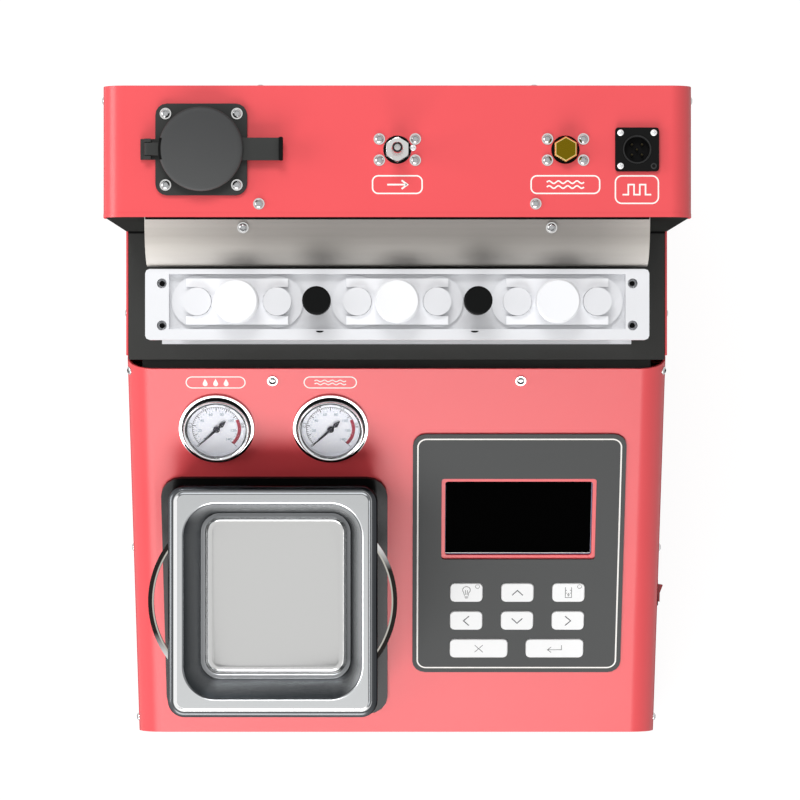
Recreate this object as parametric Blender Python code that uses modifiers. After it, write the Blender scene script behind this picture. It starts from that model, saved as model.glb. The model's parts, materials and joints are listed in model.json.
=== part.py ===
"""Fuel injector cleaner and tester: a bench machine in a red sheet housing.

A tall tower at the back carries the filler, the fittings and the lamp hood.
A rack of six glass tubes stands on the deck in front of it. A sloped console
at the front holds two pressure gauges, an ultrasonic tank and a keypad.

Lengths are in metres. X runs to the right, Y to the back and Z up. The origin
is at the middle of the footprint, on the surface that the feet stand on.
"""

import math

import bmesh
import bpy
from mathutils import Matrix

# Housing, the driving dimensions
BODY_WIDTH = 0.412
BODY_DEPTH = 0.484
TOWER_HEIGHT = 0.469
TOWER_DEPTH = 0.0911
DECK_HEIGHT = 0.207
DECK_RUN = 0.1048
FRONT_HEIGHT = 0.062
FOOT_HEIGHT = 0.012
SHEET = 0.0015
TOWER_BEND = 0.015
CONSOLE_BEND = 0.020

# Clearances and cutter overruns
GAP = 0.0003
EDGE_OVERRUN = 0.0005
OVERRUN = 0.010
OVERLAP = 0.0005

# Faceting, in steps of a full turn, of a bend or of a corner
TURN_STEPS = 28
TUBE_STEPS = 24
SMALL_TURN_STEPS = 16
BEND_STEPS = 5
CORNER_STEPS = 4
KEY_CORNER_STEPS = 3
ROUND_SHARE = 0.5
WELD_DISTANCE = 0.00001
FLAT_ANGLE = math.radians(0.5)
SMOOTH_ANGLE = math.radians(35.0)

# Base tray and feet
TRAY_WALL = 0.020
FOOT_TOP_RADIUS = 0.013
FOOT_BOTTOM_RADIUS = 0.0115
FOOT_INSET = 0.034

# Bay liner: backboard, deck and the dark groove in front of the deck
GROOVE_WIDTH = 0.0072
GROOVE_DEPTH = 0.010
GROOVE_FLOOR_RUN = 0.015
DECK_FLANGE = 0.014
BEND_RELIEF = 0.0015

# Rear panel
VENT_WIDTH = 0.070
VENT_HEIGHT = 0.005
VENT_PITCH = 0.012
VENT_COUNT = 7
VENT_CENTRE_X = 0.110
VENT_CENTRE_Z = 0.150

# Lamp hood and lamp bar
HOOD_WIDTH = 0.354
HOOD_DROP = 0.008
HOOD_REACH = 0.0335
HOOD_FALL = 0.035
HOOD_SHEET = 0.0012
HOOD_FLANGE = 0.012
HOOD_STEPS = 10
LAMP_WIDTH = 0.330
LAMP_HEIGHT = 0.012
LAMP_DEPTH = 0.008
LAMP_DROP = 0.004

# Tube rack
RACK_WIDTH = 0.356
RACK_DEPTH = 0.050
RACK_SETBACK = 0.0609
RACK_DROP = 0.034
RACK_CORNER = 0.003
TOP_PLATE = 0.015
BOTTOM_PLATE = 0.012
WINDOW_WIDTH = 0.3224
WINDOW_DEPTH = 0.0388
WINDOW_RECESS = 0.008
TUBE_LINE_BACK = 0.002
TUBE_COUNT = 6
TUBE_PITCH = 0.0565
TUBE_RADIUS = 0.019
TUBE_WALL = 0.0025
TUBE_POCKET = 0.002
SEAT_RADIUS = 0.01835
SEAT_HEIGHT = 0.003
PLUG_RADIUS = 0.010
PLUG_HEIGHT = 0.013
UPRIGHT_WIDTH = 0.008
UPRIGHT_DEPTH = 0.044
BORE_X = 0.16625
BORE_Y = 0.01485
BORE_RADIUS = 0.0035
BORE_DEPTH = 0.010
BORE_THROUGH_RADIUS = 0.0019

# Clamp bars and their knobs
BAR_LENGTH = 0.072
BAR_WIDTH = 0.0325
BAR_HEIGHT = 0.006
BAR_SLOT_CLEARANCE = 0.0003
KNOB_RADIUS = 0.01565
KNOB_HEIGHT = 0.0165
KNOB_EDGE = 0.0012
KNOB_HUB_RADIUS = 0.0105
KNOB_HUB_HEIGHT = 0.0045
CLAMP_STUD_RADIUS = 0.003
CLAMP_STUD_TIP = 0.0005
STUD_CLEARANCE = 0.0004

# Long studs with black knobs
GUIDE_KNOB_RADIUS = 0.010
GUIDE_KNOB_HEIGHT = 0.022
GUIDE_KNOB_RISE = 0.042
GUIDE_COLLAR_RADIUS = 0.006
GUIDE_STUD_RADIUS = 0.0035
GUIDE_SOCKET_DEPTH = 0.010

# Ultrasonic tank
TANK_X = -0.0945
TANK_DROP = 0.0890
TANK_WIDTH = 0.162
TANK_LENGTH = 0.176
TANK_CORNER = 0.008
TANK_BACK_RISE = 0.0448
TANK_SHEET = 0.0012
TANK_DEPTH = 0.100
TANK_LIP = 0.010
TANK_EDGE = 0.0026
BASIN_WIDTH = 0.1355
BASIN_LENGTH = 0.1485
BASIN_CORNER = 0.024
BASIN_TAPER = 0.010
BASIN_EDGE = 0.0015
BASIN_FILLET = 0.009
EDGE_STEPS = 2
FILLET_STEPS = 3
HANDLE_SPAN = 0.093
HANDLE_BULGE = 0.014
HANDLE_SHEET = 0.0032
HANDLE_HEIGHT = 0.0065
HANDLE_STEPS = 12
HANDLE_ROOT = 0.0006
SURROUND_OUTSET = 0.0065
SURROUND_FLANGE = 0.003
SURROUND_CORNER = 0.016
SURROUND_WALL = 0.003
SURROUND_CLEARANCE = 0.0006
TRANSDUCER_RADIUS = 0.0225
TRANSDUCER_NECK_RADIUS = 0.015
TRANSDUCER_HORN = 0.010
TRANSDUCER_HEIGHT = 0.036

# Pressure gauges
GAUGE_SPACING = 0.0875
GAUGE_MIDDLE_X = -0.09435
GAUGE_DROP = 0.0506
GAUGE_FLANGE_RADIUS = 0.0291
GAUGE_FLANGE = 0.0016
GAUGE_BEZEL_RADIUS = 0.02475
GAUGE_BEZEL_HEIGHT = 0.0066
GAUGE_WINDOW_RADIUS = 0.0230
GAUGE_DIAL_RADIUS = 0.0215
GAUGE_DIAL_HEIGHT = 0.0006
GAUGE_LEDGE_HEIGHT = 0.0036
GAUGE_BODY_RADIUS = 0.0240
GAUGE_BODY_DEPTH = 0.024
GAUGE_STEM_RADIUS = 0.006
GAUGE_STEM_LENGTH = 0.010
GAUGE_PIN_RADIUS = 0.0012
GAUGE_PIN_HEIGHT = 0.0008
LENS_THICKNESS = 0.0014
NEEDLE_LENGTH = 0.0198
NEEDLE_TAIL = 0.0105
NEEDLE_WIDTH = 0.0016
NEEDLE_THICKNESS = 0.0005
NEEDLE_HUB_RADIUS = 0.0026
NEEDLE_HUB_HEIGHT = 0.0012
NEEDLE_ZERO_ANGLE = math.radians(225.0)

# Keypad, display and control board
KEYPAD_X = 0.0947
KEYPAD_DROP = 0.1609
KEYPAD_WIDTH = 0.1642
KEYPAD_LENGTH = 0.2114
KEYPAD_CORNER = 0.010
KEYPAD_SHEET = 0.0012
DISPLAY_WINDOW_DROP = 0.1294
DISPLAY_WINDOW_WIDTH = 0.1197
DISPLAY_WINDOW_LENGTH = 0.0709
DISPLAY_VIEW_WIDTH = 0.1141
DISPLAY_VIEW_LENGTH = 0.0648
DISPLAY_BORDER = 0.006
DISPLAY_CORNER = 0.002
KEY_WIDTH = 0.0252
WIDE_KEY_WIDTH = 0.0453
KEY_LENGTH = 0.0165
KEY_CORNER = 0.0035
KEY_PITCH_X = 0.0399
WIDE_KEY_PITCH_X = 0.0597
KEY_PITCH_Y = 0.0252
KEY_ROW_DROP = 0.2193
KEY_RISE = 0.0010
KEY_EDGE = 0.0004
KEY_CLEARANCE = 0.0003
KEY_FLANGE = 0.0015
KEY_FLANGE_HEIGHT = 0.0012
KEY_SKIRT = 0.0030
KEY_TRAVEL = 0.0006
FIELD_MARGIN = 0.001
SWITCH_SIZE = 0.006
SWITCH_HEIGHT = 0.0045
BOARD_THICKNESS = 0.0016
BOARD_MARGIN = 0.010
POST_RADIUS = 0.003
POST_INSET = 0.005

# Filler neck and cap
FILLER_INSET = 0.0693
FITTING_LINE_BACK = 0.0463
FILLER_FLANGE = 0.064
FILLER_FLANGE_CORNER = 0.008
FILLER_PLATE = 0.003
FILLER_RIM_RADIUS = 0.025
FILLER_RIM_HEIGHT = 0.0055
FILLER_BORE_RADIUS = 0.017
FILLER_TUBE_RADIUS = 0.020
FILLER_TUBE_LENGTH = 0.034
EAR_REACH = 0.0104
EAR_WIDTH = 0.0145
HINGE_RADIUS = 0.0025
HINGE_LUG = 0.0025
CAP_RADIUS = 0.02925
CAP_RIM_CLEARANCE = 0.0006
CAP_TOP = 0.0028
CAP_EDGE = 0.0015
STRAP_THICKNESS = 0.0025
TAB_REACH = 0.025
TAB_WIDTH = 0.0158
TAB_LIP = 0.004
TAB_LIP_THICKNESS = 0.0025

# Fluid outlet, air intake and pulse socket
OUTLET_X = 0.0
AIR_INSET = 0.0887
FITTING_HOLE_RADIUS = 0.0099
FITTING_PLATE_WIDTH = 0.037
FITTING_PLATE_LENGTH = 0.027
FITTING_PLATE = 0.003
HEX_ACROSS_FLATS = 0.0153
HEX_RISE = 0.007
HEX_SIDES = 6
NIPPLE_RADIUS = 0.0035
NIPPLE_BARB_RADIUS = 0.0040
NIPPLE_BORE_RADIUS = 0.0022
NIPPLE_LENGTH = 0.022
NIPPLE_BARB = 0.004
NIPPLE_BORE_DEPTH = 0.015
TAIL_RADIUS = 0.006
TAIL_LENGTH = 0.014
AIR_RISE = 0.009
AIR_CHAMFER = 0.0008
SOCKET_INSET = 0.0388
SOCKET_WIDTH = 0.0306
SOCKET_CORNER = 0.002
SOCKET_FLANGE = 0.003
SOCKET_BODY_RADIUS = 0.0115
SOCKET_BODY_LENGTH = 0.020
SOCKET_WELL_RADIUS = 0.0100
SOCKET_WELL_DEPTH = 0.008
HOLE_CLEARANCE = 0.0004

# Rocker switch on the right side wall
ROCKER_DROP_Y = 0.1305
ROCKER_RISE = 0.060
ROCKER_BEZEL_LENGTH = 0.021
ROCKER_BEZEL_WIDTH = 0.015
ROCKER_BEZEL = 0.002
ROCKER_WALL = 0.0015
ROCKER_FRAME_LEDGE = 0.0012
ROCKER_CAVITY_DEPTH = 0.009
ROCKER_BODY_DEPTH = 0.016
ROCKER_CLEARANCE = 0.0004
ROCKER_CROWN = 0.0052
ROCKER_DISH = 0.0012
ROCKER_HEEL = 0.0012
ROCKER_END_CLEARANCE = 0.0009
ROCKER_TILT = math.radians(11.0)

# Pieces inside the housing
RESERVOIR_WIDTH = 0.120
RESERVOIR_DEPTH = 0.078
RESERVOIR_HEIGHT = 0.190
RESERVOIR_WALL = 0.0025
RESERVOIR_DROP = 0.026
PUMP_X = 0.070
PUMP_BACK = 0.045
PUMP_RADIUS = 0.021
PUMP_HEIGHT = 0.092
PUMP_BASE_RADIUS = 0.030
PUMP_BASE = 0.005
PUMP_NECK_RADIUS = 0.005
PUMP_NECK = 0.014
SUPPLY_INSET = 0.101
SUPPLY_SETBACK = 0.080
SUPPLY_WIDTH = 0.098
SUPPLY_LENGTH = 0.150
SUPPLY_HEIGHT = 0.040
SUPPLY_TERMINALS = 0.016
SUPPLY_TERMINAL_HEIGHT = 0.018
INLET_INSET = 0.061
INLET_RISE = 0.050
INLET_FLANGE_WIDTH = 0.050
INLET_FLANGE_HEIGHT = 0.024
INLET_FLANGE = 0.0025
INLET_CORNER = 0.004
INLET_BODY_WIDTH = 0.030
INLET_BODY_HEIGHT = 0.0215
INLET_BODY_DEPTH = 0.022
INLET_WALL = 0.0022
INLET_SOCKET_DEPTH = 0.016

# Levels and planes that follow from the driving dimensions
BASE_Z = FOOT_HEIGHT
TOP_Z = BASE_Z + TOWER_HEIGHT
DECK_Z = BASE_Z + DECK_HEIGHT
FRONT_Z = BASE_Z + FRONT_HEIGHT
HALF_WIDTH = BODY_WIDTH / 2
BACK_Y = BODY_DEPTH / 2
FRONT_Y = -BODY_DEPTH / 2
TOWER_Y = BACK_Y - TOWER_DEPTH
SLOPE_TOP_Y = TOWER_Y - DECK_RUN
SLOPE = math.atan2(DECK_Z - FRONT_Z, SLOPE_TOP_Y - FRONT_Y)
SEAM_Y = TOWER_Y + SHEET
INNER_HALF = HALF_WIDTH - SHEET - GAP
TRAY_TOP_Z = BASE_Z + SHEET
DECK_FRONT_Y = SLOPE_TOP_Y + GROOVE_WIDTH
RACK_Y = TOWER_Y - RACK_SETBACK
TUBE_Y = RACK_Y + TUBE_LINE_BACK
RACK_TOP_Z = TOP_Z - RACK_DROP
RACK_UNDER_Z = RACK_TOP_Z - TOP_PLATE
RACK_FLOOR_Z = RACK_TOP_Z - WINDOW_RECESS
RACK_FOOT_Z = DECK_Z + GAP
RACK_BED_Z = RACK_FOOT_Z + BOTTOM_PLATE
TANK_Y = SLOPE_TOP_Y - TANK_DROP - TANK_LENGTH / 2
SLOPE_AT_TANK_BACK = DECK_Z - TANK_DROP * math.tan(SLOPE)
TANK_RIM_Z = SLOPE_AT_TANK_BACK + TANK_BACK_RISE
FITTING_Y = TOWER_Y + FITTING_LINE_BACK
FILLER_X = FILLER_INSET - HALF_WIDTH
AIR_X = HALF_WIDTH - AIR_INSET
SOCKET_X = HALF_WIDTH - SOCKET_INSET
SUPPLY_X = HALF_WIDTH - SUPPLY_INSET
INLET_X = HALF_WIDTH - INLET_INSET
BASIN_WALL_DEPTH = TANK_DEPTH - BASIN_FILLET
HEX_RADIUS = HEX_ACROSS_FLATS / 2 / math.cos(math.pi / HEX_SIDES)
PARTS = None
TOOLS = None


def clear_scene():
    """Remove every object, so that the script can be run again."""
    for item in list(bpy.data.objects):
        bpy.data.objects.remove(item, do_unlink=True)


def add_collection(name):
    """Return a new collection linked to the scene."""
    group = bpy.data.collections.new(name)
    bpy.context.scene.collection.children.link(group)
    return group


def finish(name, color, roughness, metallic=0.0, alpha=1.0):
    """Return a Principled material with one colour."""
    look = bpy.data.materials.new(name)
    look.use_nodes = True
    shader = look.node_tree.nodes["Principled BSDF"]
    shader.inputs["Base Color"].default_value = (*color, 1.0)
    shader.inputs["Roughness"].default_value = roughness
    shader.inputs["Metallic"].default_value = metallic
    shader.inputs["Alpha"].default_value = alpha
    return look


def add_part(name, mesh, look, parent=None, place=(0, 0, 0), turn=(0, 0, 0)):
    """Put a mesh in the scene as one sub-part of the object."""
    item = bpy.data.objects.new(name, mesh)
    mesh.materials.clear()
    mesh.materials.append(look)
    item.location = place
    item.rotation_euler = turn
    item.parent = parent
    PARTS.objects.link(item)
    return item


def add_tool(name, mesh, parent=None, place=(0, 0, 0), turn=(0, 0, 0)):
    """Put a mesh in the scene as a cutter, or as a shape to be joined on."""
    item = bpy.data.objects.new(name, mesh)
    item.location = place
    item.rotation_euler = turn
    item.parent = parent
    item.hide_render = True
    item.display_type = "WIRE"
    TOOLS.objects.link(item)
    return item


def combine(target, tool, operation):
    """Add one exact Boolean to a part."""
    step = target.modifiers.new(tool.name, "BOOLEAN")
    step.operation = operation
    step.solver = "EXACT"
    step.object = tool


def cut(target, *tools):
    """Cut each tool out of a part."""
    for tool in tools:
        combine(target, tool, "DIFFERENCE")


def join(target, *tools):
    """Join each tool onto a part as one body."""
    for tool in tools:
        combine(target, tool, "UNION")


def smooth(mesh):
    """Shade a round mesh smooth, with its real edges kept sharp."""
    mesh.shade_smooth()
    mesh.set_sharp_from_angle(angle=SMOOTH_ANGLE)
    return mesh


def evaluated_mesh(item, weld):
    """Turn an object with modifiers, or a curve, into a plain mesh and remove the object."""
    bpy.context.scene.collection.objects.link(item)
    bpy.context.view_layer.update()
    state = item.evaluated_get(bpy.context.evaluated_depsgraph_get())
    mesh = bpy.data.meshes.new_from_object(state)
    mesh.transform(item.matrix_world)
    bpy.data.objects.remove(item, do_unlink=True)
    if weld:
        builder = bmesh.new()
        builder.from_mesh(mesh)
        bmesh.ops.remove_doubles(builder, verts=builder.verts, dist=WELD_DISTANCE)
        builder.to_mesh(mesh)
        builder.free()
    return mesh


def box_mesh(x_range, y_range, z_range):
    """A box between two limits on each axis."""
    builder = bmesh.new()
    bmesh.ops.create_cube(builder, size=1)
    limits = (x_range, y_range, z_range)
    size = [high - low for low, high in limits]
    middle = [(high + low) / 2 for low, high in limits]
    bmesh.ops.scale(builder, vec=size, verts=builder.verts)
    bmesh.ops.translate(builder, vec=middle, verts=builder.verts)
    mesh = bpy.data.meshes.new("box")
    builder.to_mesh(mesh)
    builder.free()
    return mesh


def around(centre, size):
    """The limits of a length laid evenly about a centre."""
    return centre - size / 2, centre + size / 2


def drum_mesh(radius, low, high, steps, centre=(0, 0), start=0.0):
    """An upright cylinder, or a prism when the steps are few."""
    builder = bmesh.new()
    bmesh.ops.create_cone(
        builder, cap_ends=True, segments=steps, radius1=radius, radius2=radius, depth=high - low
    )
    bmesh.ops.rotate(builder, verts=builder.verts, matrix=Matrix.Rotation(start, 3, "Z"))
    bmesh.ops.translate(builder, vec=(*centre, (high + low) / 2), verts=builder.verts)
    mesh = bpy.data.meshes.new("drum")
    builder.to_mesh(mesh)
    builder.free()
    return smooth(mesh)


def turned_mesh(profile, steps, closed=False):
    """A turned shape about Z. Its profile runs down its outer side."""
    mesh = bpy.data.meshes.new("profile")
    count = len(profile)
    links = [(index, index + 1) for index in range(count - 1)]
    if closed:
        links.append((count - 1, 0))
    mesh.from_pydata([(radius, 0, height) for radius, height in profile], links, [])
    item = bpy.data.objects.new("profile", mesh)
    spin = item.modifiers.new("spin", "SCREW")
    spin.angle = math.tau
    spin.steps = steps
    spin.render_steps = steps
    spin.use_merge_vertices = True
    spin.merge_threshold = WELD_DISTANCE
    return smooth(evaluated_mesh(item, weld=True))


def outline_mesh(outlines, low, high, plain=False):
    """A flat plate from outlines in XY. Outlines inside the first one are holes."""
    curve = bpy.data.curves.new("outline", "CURVE")
    curve.dimensions = "2D"
    curve.fill_mode = "BOTH"
    curve.extrude = (high - low) / 2
    for outline in outlines:
        line = curve.splines.new("POLY")
        line.points.add(len(outline) - 1)
        line.use_cyclic_u = True
        for point, (x, y) in zip(line.points, outline):
            point.co = (x, y, 0, 1)
    item = bpy.data.objects.new("outline", curve)
    item.location.z = (high + low) / 2
    mesh = evaluated_mesh(item, weld=True)
    bpy.data.curves.remove(curve)
    builder = bmesh.new()
    builder.from_mesh(mesh)
    if plain:
        bmesh.ops.dissolve_limit(
            builder, angle_limit=FLAT_ANGLE, verts=builder.verts, edges=builder.edges
        )
    bmesh.ops.recalc_face_normals(builder, faces=builder.faces)
    builder.to_mesh(mesh)
    builder.free()
    return mesh


def rectangle(width, length, radius, steps, centre=(0, 0)):
    """Points of a rectangle with round corners, anticlockwise."""
    points = []
    for quarter in range(4):
        corner = math.radians(90) * quarter
        side_x = math.copysign(width / 2 - radius, math.cos(corner + math.radians(45)))
        side_y = math.copysign(length / 2 - radius, math.sin(corner + math.radians(45)))
        for step in range(steps + 1):
            angle = corner + math.radians(90) * step / steps
            x = centre[0] + side_x + radius * math.cos(angle)
            y = centre[1] + side_y + radius * math.sin(angle)
            points.append((x, y))
    return points


def loft_mesh(rings):
    """A closed skin over rings of points, each ring at its own height."""
    builder = bmesh.new()
    rows = [[builder.verts.new((x, y, height)) for x, y in ring] for ring, height in rings]
    for low_row, high_row in zip(rows, rows[1:]):
        for index, low_point in enumerate(low_row):
            behind = index - 1
            builder.faces.new((low_row[behind], low_point, high_row[index], high_row[behind]))
    builder.faces.new(rows[0])
    builder.faces.new(rows[-1])
    bmesh.ops.recalc_face_normals(builder, faces=builder.faces)
    mesh = bpy.data.meshes.new("loft")
    builder.to_mesh(mesh)
    builder.free()
    return smooth(mesh)


def side_view_mesh(points, low_x, high_x):
    """A prism along X from its outline seen from the side, as Y and Z points."""
    mesh = outline_mesh([points], low_x, high_x, plain=True)
    upright = Matrix.Rotation(math.radians(90), 4, "Z") @ Matrix.Rotation(math.radians(90), 4, "X")
    mesh.transform(upright)
    return mesh


def front_view_mesh(outlines, low_y, high_y, plain=False):
    """A plate facing the front, from outlines given as X and Z points."""
    mesh = outline_mesh(outlines, -high_y, -low_y, plain)
    mesh.transform(Matrix.Rotation(math.radians(90), 4, "X"))
    return mesh


def round_edges(mesh, radius, steps, chosen):
    """Round the chosen edges of a mesh."""
    builder = bmesh.new()
    builder.from_mesh(mesh)
    edges = [edge for edge in builder.edges if chosen(*(vert.co for vert in edge.verts))]
    bmesh.ops.bevel(
        builder, geom=edges, offset=radius, offset_type="OFFSET", segments=steps,
        profile=ROUND_SHARE, affect="EDGES", clamp_overlap=False,
    )
    builder.to_mesh(mesh)
    builder.free()
    return smooth(mesh)


def runs_up_the_slope(start, end):
    """True for an edge that rises towards the back."""
    run = end - start
    return run.y * run.z > WELD_DISTANCE * WELD_DISTANCE


def tower_bend(start, end):
    """True for an upper edge that runs from front to back."""
    run = end - start
    return abs(run.y) > WELD_DISTANCE and abs(run.x) + abs(run.z) < WELD_DISTANCE and start.z > DECK_Z


def add_panel_frame():
    """An empty at the top edge of the slope: its Y runs up the slope, its Z out of it."""
    frame = bpy.data.objects.new("panel_frame", None)
    frame.location = (0, SLOPE_TOP_Y, DECK_Z)
    frame.rotation_euler = (SLOPE, 0, 0)
    PARTS.objects.link(frame)
    return frame


def make_base_tray(look):
    """The bottom tray, whose walls stand just inside the covers."""
    front = FRONT_Y + SHEET + GAP
    back = BACK_Y - SHEET - GAP
    top = BASE_Z + TRAY_WALL
    outer = box_mesh((-INNER_HALF, INNER_HALF), (front, back), (BASE_Z, top))
    tray = add_part("base_tray", outer, look)
    wall = INNER_HALF - SHEET
    hollow = box_mesh((-wall, wall), (front + SHEET, back - SHEET), (TRAY_TOP_Z, top + OVERRUN))
    cut(tray, add_tool("tray_hollow", hollow))


def make_feet(look):
    """Four turned rubber feet under the corners of the tray."""
    profile = [
        (0, BASE_Z - GAP),
        (FOOT_TOP_RADIUS, BASE_Z - GAP),
        (FOOT_BOTTOM_RADIUS, 0),
        (0, 0),
    ]
    mesh = turned_mesh(profile, SMALL_TURN_STEPS)
    x = HALF_WIDTH - FOOT_INSET
    y = BACK_Y - FOOT_INSET
    add_part("foot_front_left", mesh, look, place=(-x, -y, 0))
    add_part("foot_front_right", mesh, look, place=(x, -y, 0))
    add_part("foot_back_left", mesh, look, place=(-x, y, 0))
    add_part("foot_back_right", mesh, look, place=(x, y, 0))


def make_console_cover(look, frame):
    """The red cover: front face, slope and both side walls up to the tower."""
    lean = math.tan(SLOPE)
    notch_y = SLOPE_TOP_Y + CONSOLE_BEND * math.sin(SLOPE) + BEND_RELIEF
    notch_z = DECK_Z - CONSOLE_BEND * math.cos(SLOPE) - BEND_RELIEF
    side = [
        (FRONT_Y, BASE_Z),
        (SEAM_Y, BASE_Z),
        (SEAM_Y, DECK_Z),
        (notch_y, DECK_Z),
        (notch_y, notch_z),
        (SLOPE_TOP_Y + (DECK_Z - notch_z) * lean, notch_z),
        (SLOPE_TOP_Y, DECK_Z),
        (FRONT_Y, FRONT_Z),
    ]
    outer = side_view_mesh(side, -HALF_WIDTH, HALF_WIDTH)
    round_edges(outer, CONSOLE_BEND, BEND_STEPS, runs_up_the_slope)
    cover = add_part("console_cover", outer, look)

    inner_front = FRONT_Y + SHEET
    inner_low = FRONT_Z + SHEET * lean - SHEET / math.cos(SLOPE)
    end_y = SLOPE_TOP_Y + SHEET * math.sin(SLOPE) + EDGE_OVERRUN * math.cos(SLOPE)
    end_z = DECK_Z - SHEET * math.cos(SLOPE) + EDGE_OVERRUN * math.sin(SLOPE)
    deck_y = notch_y - EDGE_OVERRUN
    inside = [
        (inner_front, BASE_Z - OVERRUN),
        (SEAM_Y + OVERRUN, BASE_Z - OVERRUN),
        (SEAM_Y + OVERRUN, DECK_Z + OVERRUN),
        (deck_y, DECK_Z + OVERRUN),
        (deck_y, end_z - (deck_y - end_y) / lean),
        (end_y, end_z),
        (inner_front, inner_low),
    ]
    inner_half = HALF_WIDTH - SHEET
    hollow = side_view_mesh(inside, -inner_half, inner_half)
    round_edges(hollow, CONSOLE_BEND - SHEET, BEND_STEPS, runs_up_the_slope)
    cut(cover, add_tool("console_hollow", hollow))

    for x in gauge_places():
        hole = drum_mesh(GAUGE_BODY_RADIUS + HOLE_CLEARANCE, -OVERRUN, OVERRUN, TURN_STEPS)
        cut(cover, add_tool("gauge_hole", hole, frame, (x, -GAUGE_DROP, 0)))

    opening = outline_mesh([tank_opening(HOLE_CLEARANCE)], FRONT_Z - OVERRUN, TANK_RIM_Z, plain=True)
    cut(cover, add_tool("tank_hole", opening))

    view = outline_mesh(
        [rectangle(DISPLAY_VIEW_WIDTH, DISPLAY_VIEW_LENGTH, DISPLAY_CORNER, EDGE_STEPS)],
        -OVERRUN, OVERRUN, plain=True,
    )
    cut(cover, add_tool("display_hole", view, frame, (KEYPAD_X, -DISPLAY_WINDOW_DROP, 0)))
    cut(cover, add_tool("key_hole", key_field_mesh(), frame, (KEYPAD_X, -KEY_ROW_DROP, 0)))

    slot = box_mesh(
        (-OVERRUN, OVERRUN),
        around(0, ROCKER_BEZEL_LENGTH - 2 * ROCKER_FRAME_LEDGE + 2 * HOLE_CLEARANCE),
        around(0, ROCKER_BEZEL_WIDTH - 2 * ROCKER_FRAME_LEDGE + 2 * HOLE_CLEARANCE),
    )
    cut(cover, add_tool("rocker_hole", slot, place=rocker_place()))


def key_field_mesh():
    """The opening in the slope that all the keys reach down through."""
    reach = KEY_FLANGE + FIELD_MARGIN
    width = WIDE_KEY_PITCH_X + WIDE_KEY_WIDTH + 2 * reach
    small_width = 2 * KEY_PITCH_X + KEY_WIDTH + 2 * reach
    length = 2 * KEY_PITCH_Y + KEY_LENGTH + 2 * reach
    return box_mesh(around(0, max(width, small_width)), around(0, length), (-OVERRUN, OVERRUN))


def make_tower_cover(look):
    """The red cover of the tower: both side walls and the top, one bent sheet."""
    front = SEAM_Y + GAP
    outer = box_mesh((-HALF_WIDTH, HALF_WIDTH), (front, BACK_Y), (BASE_Z, TOP_Z))
    round_edges(outer, TOWER_BEND, BEND_STEPS, tower_bend)
    cover = add_part("tower_cover", outer, look)
    half = HALF_WIDTH - SHEET
    hollow = box_mesh((-half, half), (front - OVERRUN, BACK_Y + OVERRUN), (BASE_Z - OVERRUN, TOP_Z - SHEET))
    round_edges(hollow, TOWER_BEND - SHEET, BEND_STEPS, tower_bend)
    cut(cover, add_tool("tower_hollow", hollow))
    holes = [
        (FILLER_X, FILLER_TUBE_RADIUS + HOLE_CLEARANCE),
        (OUTLET_X, FITTING_HOLE_RADIUS),
        (AIR_X, FITTING_HOLE_RADIUS),
        (SOCKET_X, SOCKET_BODY_RADIUS + HOLE_CLEARANCE),
    ]
    for x, radius in holes:
        hole = drum_mesh(radius, TOP_Z - OVERRUN, TOP_Z + OVERRUN, TURN_STEPS, (x, FITTING_Y))
        cut(cover, add_tool("top_hole", hole))


def make_bay_liner(look):
    """The dark sheet behind and under the tubes, with the groove in front."""
    half = HALF_WIDTH
    board = [(half, DECK_Z + GAP)]
    for step in range(BEND_STEPS + 1):
        angle = math.radians(90) * step / BEND_STEPS
        x = half - TOWER_BEND + TOWER_BEND * math.cos(angle)
        board.append((x, TOP_Z - TOWER_BEND + TOWER_BEND * math.sin(angle)))
    board += [(-x, z) for x, z in reversed(board)]
    tongue = INNER_HALF - OVERLAP
    tongue_z = DECK_Z - SHEET + OVERLAP
    relief_z = DECK_Z + GAP + BEND_RELIEF
    board += [(-tongue, relief_z), (-tongue, tongue_z), (tongue, tongue_z), (tongue, relief_z)]
    liner = add_part("bay_liner", front_view_mesh([board], TOWER_Y, SEAM_Y, plain=True), look)
    floor_z = DECK_Z - GROOVE_DEPTH
    bend_y = DECK_FRONT_Y + SHEET
    deck = [
        (DECK_FRONT_Y, DECK_Z),
        (DECK_FRONT_Y, floor_z - SHEET),
        (bend_y, floor_z - SHEET),
        (bend_y, DECK_Z - SHEET),
        (TOWER_Y + OVERLAP, DECK_Z - SHEET),
        (TOWER_Y + OVERLAP, DECK_Z),
    ]
    join(liner, add_tool("deck_plate", side_view_mesh(deck, -INNER_HALF, INNER_HALF)))
    floor_half = INNER_HALF - CONSOLE_BEND / 2
    floor_y = (DECK_FRONT_Y - GROOVE_FLOOR_RUN, DECK_FRONT_Y + OVERLAP)
    floor = box_mesh((-floor_half, floor_half), floor_y, (floor_z - SHEET + OVERLAP, floor_z))
    join(liner, add_tool("groove_floor", floor))
    flange_y = (DECK_FRONT_Y + OVERLAP, TOWER_Y + OVERLAP / 2)
    for side in (-1, 1):
        outer = side * (tongue - OVERLAP)
        reach = sorted((outer, outer - side * SHEET))
        flange = box_mesh(reach, flange_y, (DECK_Z - DECK_FLANGE, DECK_Z - OVERLAP))
        join(liner, add_tool("deck_flange", flange))


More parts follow.
